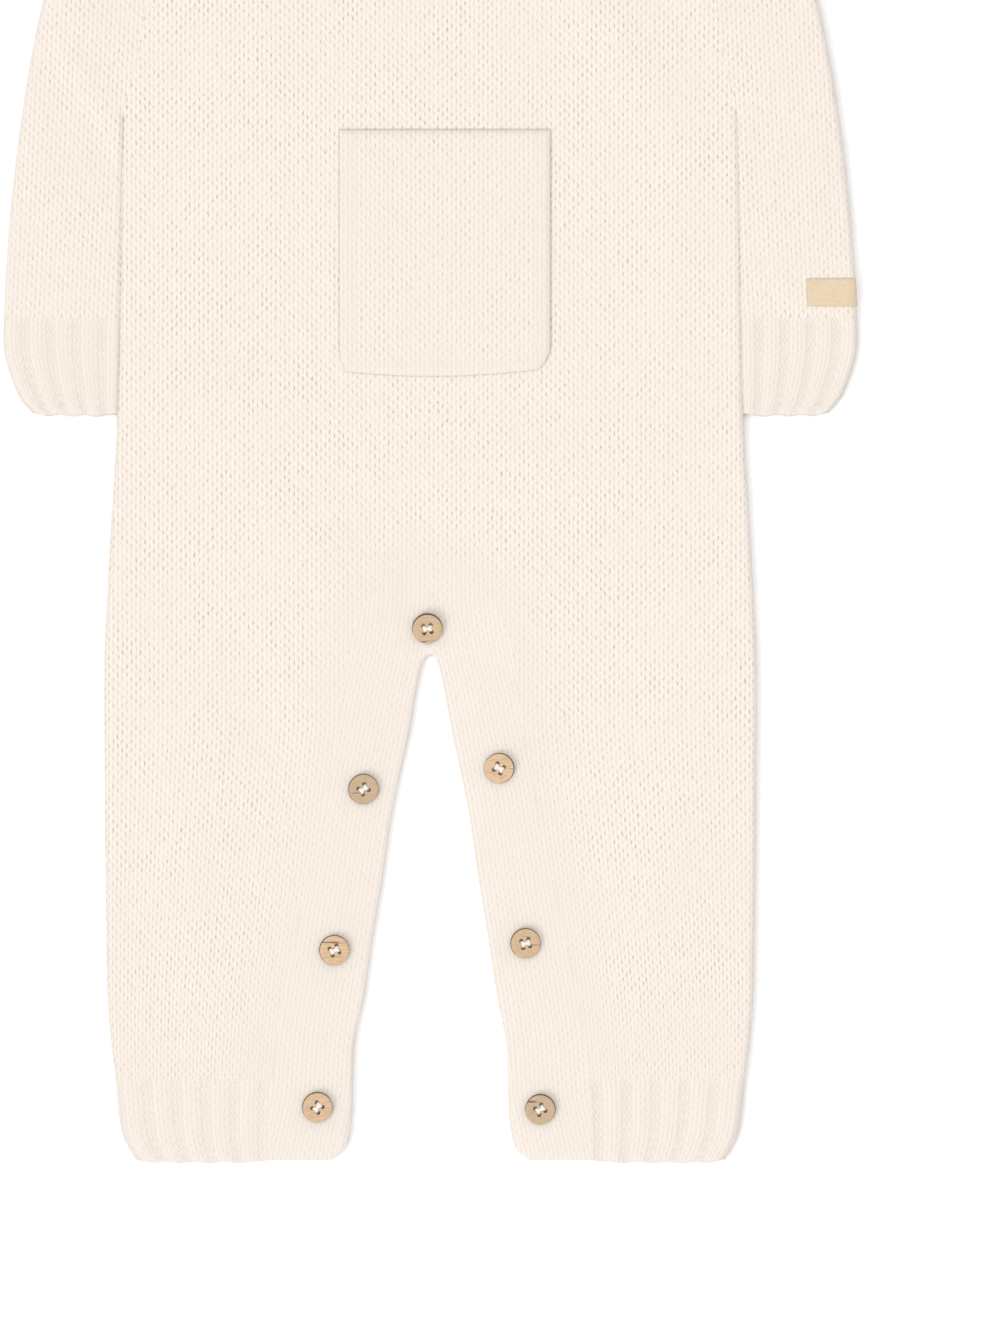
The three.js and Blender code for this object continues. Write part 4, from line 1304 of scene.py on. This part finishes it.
def pocket_outline():
    """Straight sides that draw in at the bottom, and a bottom edge that sags"""
    corner = np.linspace(0, 1, 14)
    ease = (1 - corner) ** 2
    low = POCKET["bottom"]
    height = POCKET_CORNER["height"]

    def sag(share):
        return POCKET_CORNER["sag"] * (2 * (share - POCKET_CORNER["sag_at"])) ** 2

    y = low + height * corner
    left = np.column_stack([POCKET["left"] + POCKET_CORNER["left_in"] * ease, y + sag(0) * (1 - corner)])
    right = np.column_stack([
        POCKET["right"] - POCKET_CORNER["right_in"] * ease, y + sag(1) * (1 - corner),
    ])
    share = np.linspace(0, 1, 40)
    bottom = np.column_stack([left[0, 0] + share * (right[0, 0] - left[0, 0]), low + sag(share)])
    right = np.vstack([right, (POCKET["right"], POCKET["top"])])
    left = np.vstack([left, (POCKET["left"], POCKET["top"])])
    top = np.array([right[-1], left[-1]])
    return closed_outline([
        (bottom, "free"), (right, "free"), (top, "free"), (left[::-1], "free"),
    ])


def in_pocket_border(place):
    """Which points lie in the closer knit along the pocket's sides and bottom"""
    x, y = place[:, 0], place[:, 1]
    inward = np.minimum.reduce([x - POCKET["left"], POCKET["right"] - x, y - POCKET["bottom"]])
    return inward < POCKET_BORDER


def pocket_openness(place):
    return np.where(in_pocket_border(place), 0.2, 0.7)


class ROMPER_OT_pocket(bpy.types.Operator):
    """Make the patch pocket, laid on the front and open at the top"""

    bl_idname = "romper.pocket"
    bl_label = "Patch pocket"

    def execute(self, context):
        outline = pocket_outline()
        width, height = stitch_size()

        def lift(plan):
            return folds(plan) + POCKET["gap"] + POCKET["wall"]

        def lay(flat):
            return laid(flat, [], 1, HALF + SEAM_GAP / 2, FOLD_RADIUS, lift)

        def relief(stitch, place):
            return np.where(in_pocket_border(place), 0.45, 0.85) * body_relief(stitch, place)

        layer = knit_layer(
            outline, Grain(width, height, wave=0.3), lay, relief, KNIT_STEPS, wall=POCKET["wall"],
            round_by=1.3, round_over=2.4,
        )
        pocket = cloth_object(
            "pocket_patch", [layer], material_of("cotton_stockinette"), ["pocket"],
            pocket_openness,
        )
        return {"FINISHED"}


def label_face(heights, above):
    """Rows of points across the label, this far above the sleeve, bent round its outer edge"""
    edge = through(SLEEVE_EDGE)[::-1]
    level = np.linspace(LABEL["from_edge"], FOLD_RADIUS + 0.4, 26)
    rows = []
    for y in heights:
        x = np.interp(y, edge[:, 1], edge[:, 0])
        row = [(x - far, y, TOP + above) for far in level]
        for angle in np.radians(LABEL["bend"]):
            reach = FOLD_RADIUS * (1 - math.cos(angle)) - above * math.cos(angle)
            row.append((x - reach, y, HALF + (HALF + above) * math.sin(angle)))
        rows.append(row)
    return np.array(rows)


def round_label_corners(face, heights):
    """Draw in the label's inner end at its top and bottom, keeping its columns in order"""
    corner = LABEL["corner"]
    from_end = np.minimum(heights - LABEL["bottom"], LABEL["top"] - heights)
    inset = np.clip(corner - from_end, 0, None)
    face[:, 0, 0] += corner - np.sqrt(corner ** 2 - inset ** 2)
    for column in (1, 2):
        face[:, column, 0] = np.maximum(face[:, column, 0], face[:, column - 1, 0] + 0.1)


def closed_slab(outer, inner):
    """Points and faces of a thin slab between two grids of points"""
    index = np.arange(outer.shape[0] * outer.shape[1]).reshape(outer.shape[:2])
    below = index.size
    a, b, c, d = index[:-1, :-1], index[:-1, 1:], index[1:, 1:], index[1:, :-1]
    top = np.stack([a, b, c, d], axis=-1).reshape(-1, 4)
    rim = np.concatenate([index[0], index[1:, -1], index[-1, -2::-1], index[-2:0:-1, 0]])
    after = np.roll(rim, -1)
    walls = np.column_stack([after, rim, rim + below, after + below])
    quads = np.vstack([top, top[:, ::-1] + below, walls])
    points = np.vstack([outer.reshape(-1, 3), inner.reshape(-1, 3)])
    return points, np.vstack([quads[:, :3], quads[:, [0, 2, 3]]])


class ROMPER_OT_label(bpy.types.Operator):
    """Make the bare label, bent over the outer edge of the sleeve"""

    bl_idname = "romper.label"
    bl_label = "Label"

    def execute(self, context):
        # Rows lie close together at the ends, where the corners are round
        ends = 0.5 - 0.5 * np.cos(np.linspace(0, np.pi, 18))
        heights = LABEL["bottom"] + ends * (LABEL["top"] - LABEL["bottom"])
        outer = label_face(heights, SEAM_GAP + LABEL["wall"])
        inner = label_face(heights, SEAM_GAP)
        outer[..., 2] += 0.08 * np.sin(outer[..., 0] / 2.1) * np.sin(outer[..., 1] / 3.3)
        outer[[0, -1], :, 2] -= LABEL["pressed"]
        outer[:, 0, 2] -= LABEL["pressed"]
        round_label_corners(outer, heights)
        round_label_corners(inner, heights)
        points, faces = closed_slab(outer, inner)
        label = cloth_object(
            "label_tab", [(points, faces, points[:, :2], np.zeros(len(points), dtype=bool))],
            material_of("bare_suede_tab"), ["label"],
        )
        return {"FINISHED"}


# Buttons, modelled by hand

def select_faces(mesh, test):
    """In edit mode, select the faces that pass a test and nothing else"""
    for vert in mesh.verts:
        vert.select = False
    for edge in mesh.edges:
        edge.select = False
    for face in mesh.faces:
        face.select = test(face)
    mesh.select_flush_mode()


def button_model():
    """A turned disc: chamfered foot, raised rim, dished middle and four drilled holes"""
    radius, thick = BUTTON["radius"] * MM, BUTTON["thickness"] * MM
    bpy.ops.object.select_all(action="DESELECT")
    bpy.ops.mesh.primitive_cylinder_add(vertices=48, radius=radius, depth=thick)
    disc = bpy.context.object
    disc.name = "button_model"
    bpy.ops.object.mode_set(mode="EDIT")
    bpy.ops.mesh.select_mode(type="FACE")
    work = bmesh.from_edit_mesh(disc.data)
    select_faces(work, lambda face: face.normal.z > 0.9)
    bmesh.update_edit_mesh(disc.data)
    bpy.ops.transform.resize(value=(BUTTON["face"], BUTTON["face"], 1))
    bpy.ops.mesh.inset(thickness=BUTTON["rim"] * MM)
    bpy.ops.mesh.inset(thickness=BUTTON["slope"] * MM)
    bpy.ops.transform.translate(value=(0, 0, -BUTTON["dish"] * MM))
    bpy.ops.mesh.inset(thickness=BUTTON["floor"] * MM)
    bpy.ops.object.mode_set(mode="OBJECT")
    bevel = disc.modifiers.new("soft_rim", "BEVEL")
    bevel.width = BUTTON["soft"] * MM
    bevel.segments = 2
    bevel.limit_method = "ANGLE"
    bevel.angle_limit = math.radians(35)
    bpy.ops.object.modifier_apply(modifier="soft_rim")
    spacing = BUTTON["spacing"] * MM / 2
    for x, y in ((1, 1), (1, -1), (-1, 1), (-1, -1)):
        bpy.ops.object.select_all(action="DESELECT")
        bpy.ops.mesh.primitive_cylinder_add(
            vertices=16, radius=BUTTON["hole"] * MM, depth=4 * thick,
            location=(x * spacing, y * spacing, 0),
        )
        drill = bpy.context.object
        cut = disc.modifiers.new("hole", "BOOLEAN")
        cut.operation = "DIFFERENCE"
        cut.object = drill
        cut.solver = "EXACT"
        bpy.ops.object.select_all(action="DESELECT")
        disc.select_set(True)
        bpy.context.view_layer.objects.active = disc
        bpy.ops.object.modifier_apply(modifier="hole")
        bpy.data.objects.remove(drill, do_unlink=True)
    bpy.ops.object.shade_smooth_by_angle(angle=math.radians(32))
    return disc


def thread_model():
    """Two bars of thread, each three strands arched from hole to hole"""
    strands = []
    spacing = BUTTON["spacing"] * MM / 2
    top = (BUTTON["thickness"] / 2 - BUTTON["dish"]) * MM
    cut = (0, 0, top - THREAD["cut"] * MM)
    for bar in (-1, 1):
        for strand in (-1, 0, 1):
            bpy.ops.object.select_all(action="DESELECT")
            bpy.ops.mesh.primitive_torus_add(
                major_segments=28, minor_segments=8,
                major_radius=0.66 * spacing, minor_radius=THREAD["radius"] * MM,
                location=(
                    bar * 0.8 * spacing + strand * THREAD["apart"] * MM, 0, top - THREAD["sunk"] * MM,
                ),
                rotation=(0, math.pi / 2, 0),
            )
            ring = bpy.context.object
            bpy.ops.object.transform_apply(location=True, rotation=True, scale=True)
            bpy.ops.object.mode_set(mode="EDIT")
            bpy.ops.mesh.select_all(action="SELECT")
            bpy.ops.mesh.bisect(plane_co=cut, plane_no=(0, 0, 1), clear_inner=True, use_fill=True)
            bpy.ops.mesh.select_all(action="SELECT")
            flat = 0.55 - 0.08 * abs(strand)
            bpy.ops.transform.resize(value=(1, 1, flat), center_override=cut)
            bpy.ops.object.mode_set(mode="OBJECT")
            for vertex in ring.data.vertices:
                along = vertex.co.y / (THREAD["half_bar"] * MM)
                vertex.co.x -= bar * THREAD["bow"] * MM * (1 - along ** 2)
            strands.append(ring)
    bpy.ops.object.select_all(action="DESELECT")
    for ring in strands:
        ring.select_set(True)
    bpy.context.view_layer.objects.active = strands[0]
    bpy.ops.object.join()
    bpy.ops.object.shade_smooth()
    return bpy.context.object


def mark_sawn_rim_and_hole_shade(mesh):
    """An attribute that is 1 on the sawn rim, where the wood is browned, and on the walls of the holes,
    where the dark brown is painted shade
    """
    sawn = []
    for face in mesh.polygons:
        reach = face.center.xy.length / MM
        upright = abs(face.normal.z) < 0.5
        at_rim = reach > BUTTON["radius"] - BUTTON["sawn"]
        sawn.append(upright and (at_rim or reach < BUTTON["radius"] / 2))
    mesh.attributes.new("sawn_rim_and_hole_shade", "FLOAT", "FACE").data.foreach_set("value", sawn)


class ROMPER_OT_buttons(bpy.types.Operator):
    """Model one button and its thread, then sew seven on the band"""

    bl_idname = "romper.buttons"
    bl_label = "Buttons"

    def execute(self, context):
        disc, thread = button_model(), thread_model()
        mark_sawn_rim_and_hole_shade(disc.data)
        for k, (turn, tilt_x, tilt_y, dull) in enumerate(BUTTONS, start=1):
            low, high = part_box(f"button_{k}")
            tilt = Euler((math.radians(tilt_x), math.radians(tilt_y), 0)).to_matrix()
            spin = Matrix.Rotation(math.radians(turn), 3, "Z")
            place = Matrix.Translation((low + high) / 2) @ (tilt @ spin).to_4x4()
            button = self.copy_at(place, disc, f"sewn_button_{k}", "turned_coconut_wood")
            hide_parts(f"button_{k}")
            tone = button.data.attributes.new("tone", "FLOAT", "POINT")
            count = len(button.data.vertices)
            tone.data.foreach_set("value", np.full(count, dull, dtype=np.float32))
            self.copy_at(place, thread, f"button_thread_{k}", "cotton_thread")
        for model in (disc, thread):
            bpy.data.objects.remove(model, do_unlink=True)
        return {"FINISHED"}

    def copy_at(self, place, model, name, finish):
        """A copy of a model with its own mesh, moved to its place"""
        mesh = model.data.copy()
        mesh.transform(place)
        piece = bpy.data.objects.new(name, mesh)
        bpy.context.scene.collection.objects.link(piece)
        mesh.materials.clear()
        mesh.materials.append(material_of(finish))
        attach(piece, "root")
        return piece


# Stage

class ROMPER_OT_stage(bpy.types.Operator):
    """Make the pale floor, the soft light and the camera straight above"""

    bl_idname = "romper.stage"
    bl_label = "Stage"

    def execute(self, context):
        scene = context.scene
        bpy.ops.object.select_all(action="DESELECT")
        bpy.ops.mesh.primitive_plane_add(size=12, location=(0, 0, 0))
        floor = context.object
        floor.name = "floor"
        paper, tree = new_material("white_paper")
        place = add(tree, "TexCoord").outputs["Object"]
        # Faint clouds 17 mm wide, as on smooth card
        tooth = add(tree, "TexNoise", {"Vector": place, "Scale": 0.06 / MM, "Detail": 2.0})
        shade = add(tree, "MapRange", {0: tooth, 3: 0.93, 4: 0.95})
        matt = add(tree, "BsdfPrincipled", {
            "Base Color": shade, "Roughness": 1.0, "Specular IOR Level": 0.0,
        })
        add(tree, "OutputMaterial", [matt])
        floor.data.materials.append(paper)
        ceiling = self.add_light(scene, "AREA", "soft_ceiling", CEILING["place"], CEILING["watts"])
        ceiling.size = CEILING["size"]
        window = self.add_light(scene, "SUN", "window", WINDOW["place"], WINDOW["strength"])
        window.angle = math.radians(WINDOW["angle"])
        world = bpy.data.worlds.new("studio")
        world.use_nodes = True
        sky = world.node_tree.nodes["Background"]
        sky.inputs["Color"].default_value = (1, 1, 1, 1)
        sky.inputs["Strength"].default_value = SKY
        scene.world = world
        scene.view_settings.view_transform = "Standard"
        self.add_camera(scene)
        return {"FINISHED"}

    def add_light(self, scene, kind, name, place, power):
        """A lamp that points at the middle of the floor"""
        light = bpy.data.lights.new(name, kind)
        light.energy = power
        lamp = bpy.data.objects.new(name, light)
        lamp.location = place
        lamp.rotation_euler = (-Vector(place)).to_track_quat("-Z", "Y").to_euler()
        scene.collection.objects.link(lamp)
        return light

    def add_camera(self, scene):
        """Straight above, with a lens that frames the picture's height on the cloth"""
        camera = bpy.data.cameras.new("above")
        camera.sensor_fit = "VERTICAL"
        camera.sensor_height = SENSOR
        height = settings().camera_height
        camera.lens = SENSOR * (height - TOP * MM) / (PICTURE["height"] * MM)
        view = bpy.data.objects.new("above", camera)
        middle_y = PICTURE["middle_y"] + SHIFT_Y
        view.location = (PICTURE["middle_x"] * MM, middle_y * MM, height)
        scene.collection.objects.link(view)
        scene.camera = view


CLASSES = [
    RomperSettings, ROMPER_OT_stage, ROMPER_OT_body, ROMPER_OT_band, ROMPER_OT_leg_cuffs,
    ROMPER_OT_sleeves, ROMPER_OT_neckband, ROMPER_OT_pocket, ROMPER_OT_label, ROMPER_OT_buttons,
]


class ROMPER_PT_panel(bpy.types.Panel):
    """Lists the romper's pieces and settings in the sidebar"""

    bl_label = "Romper"
    bl_space_type = "VIEW_3D"
    bl_region_type = "UI"
    bl_category = "Romper"

    def draw(self, context):
        for cls in CLASSES[1:]:
            self.layout.operator(cls.bl_idname)
        for name in RomperSettings.__annotations__:
            self.layout.prop(context.scene.romper, name)


def register():
    for cls in (*CLASSES, ROMPER_PT_panel):
        bpy.utils.register_class(cls)
    bpy.types.Scene.romper = PointerProperty(type=RomperSettings)


def unregister():
    del bpy.types.Scene.romper
    for cls in (ROMPER_PT_panel, *reversed(CLASSES)):
        bpy.utils.unregister_class(cls)


def main():
    register()
    bpy.ops.romper.stage()
    bpy.ops.romper.body()
    bpy.ops.romper.band()
    bpy.ops.romper.leg_cuffs()
    bpy.ops.romper.sleeves()
    bpy.ops.romper.neckband()
    bpy.ops.romper.pocket()
    bpy.ops.romper.label()
    bpy.ops.romper.buttons()


if __name__ == "__main__":
    main()
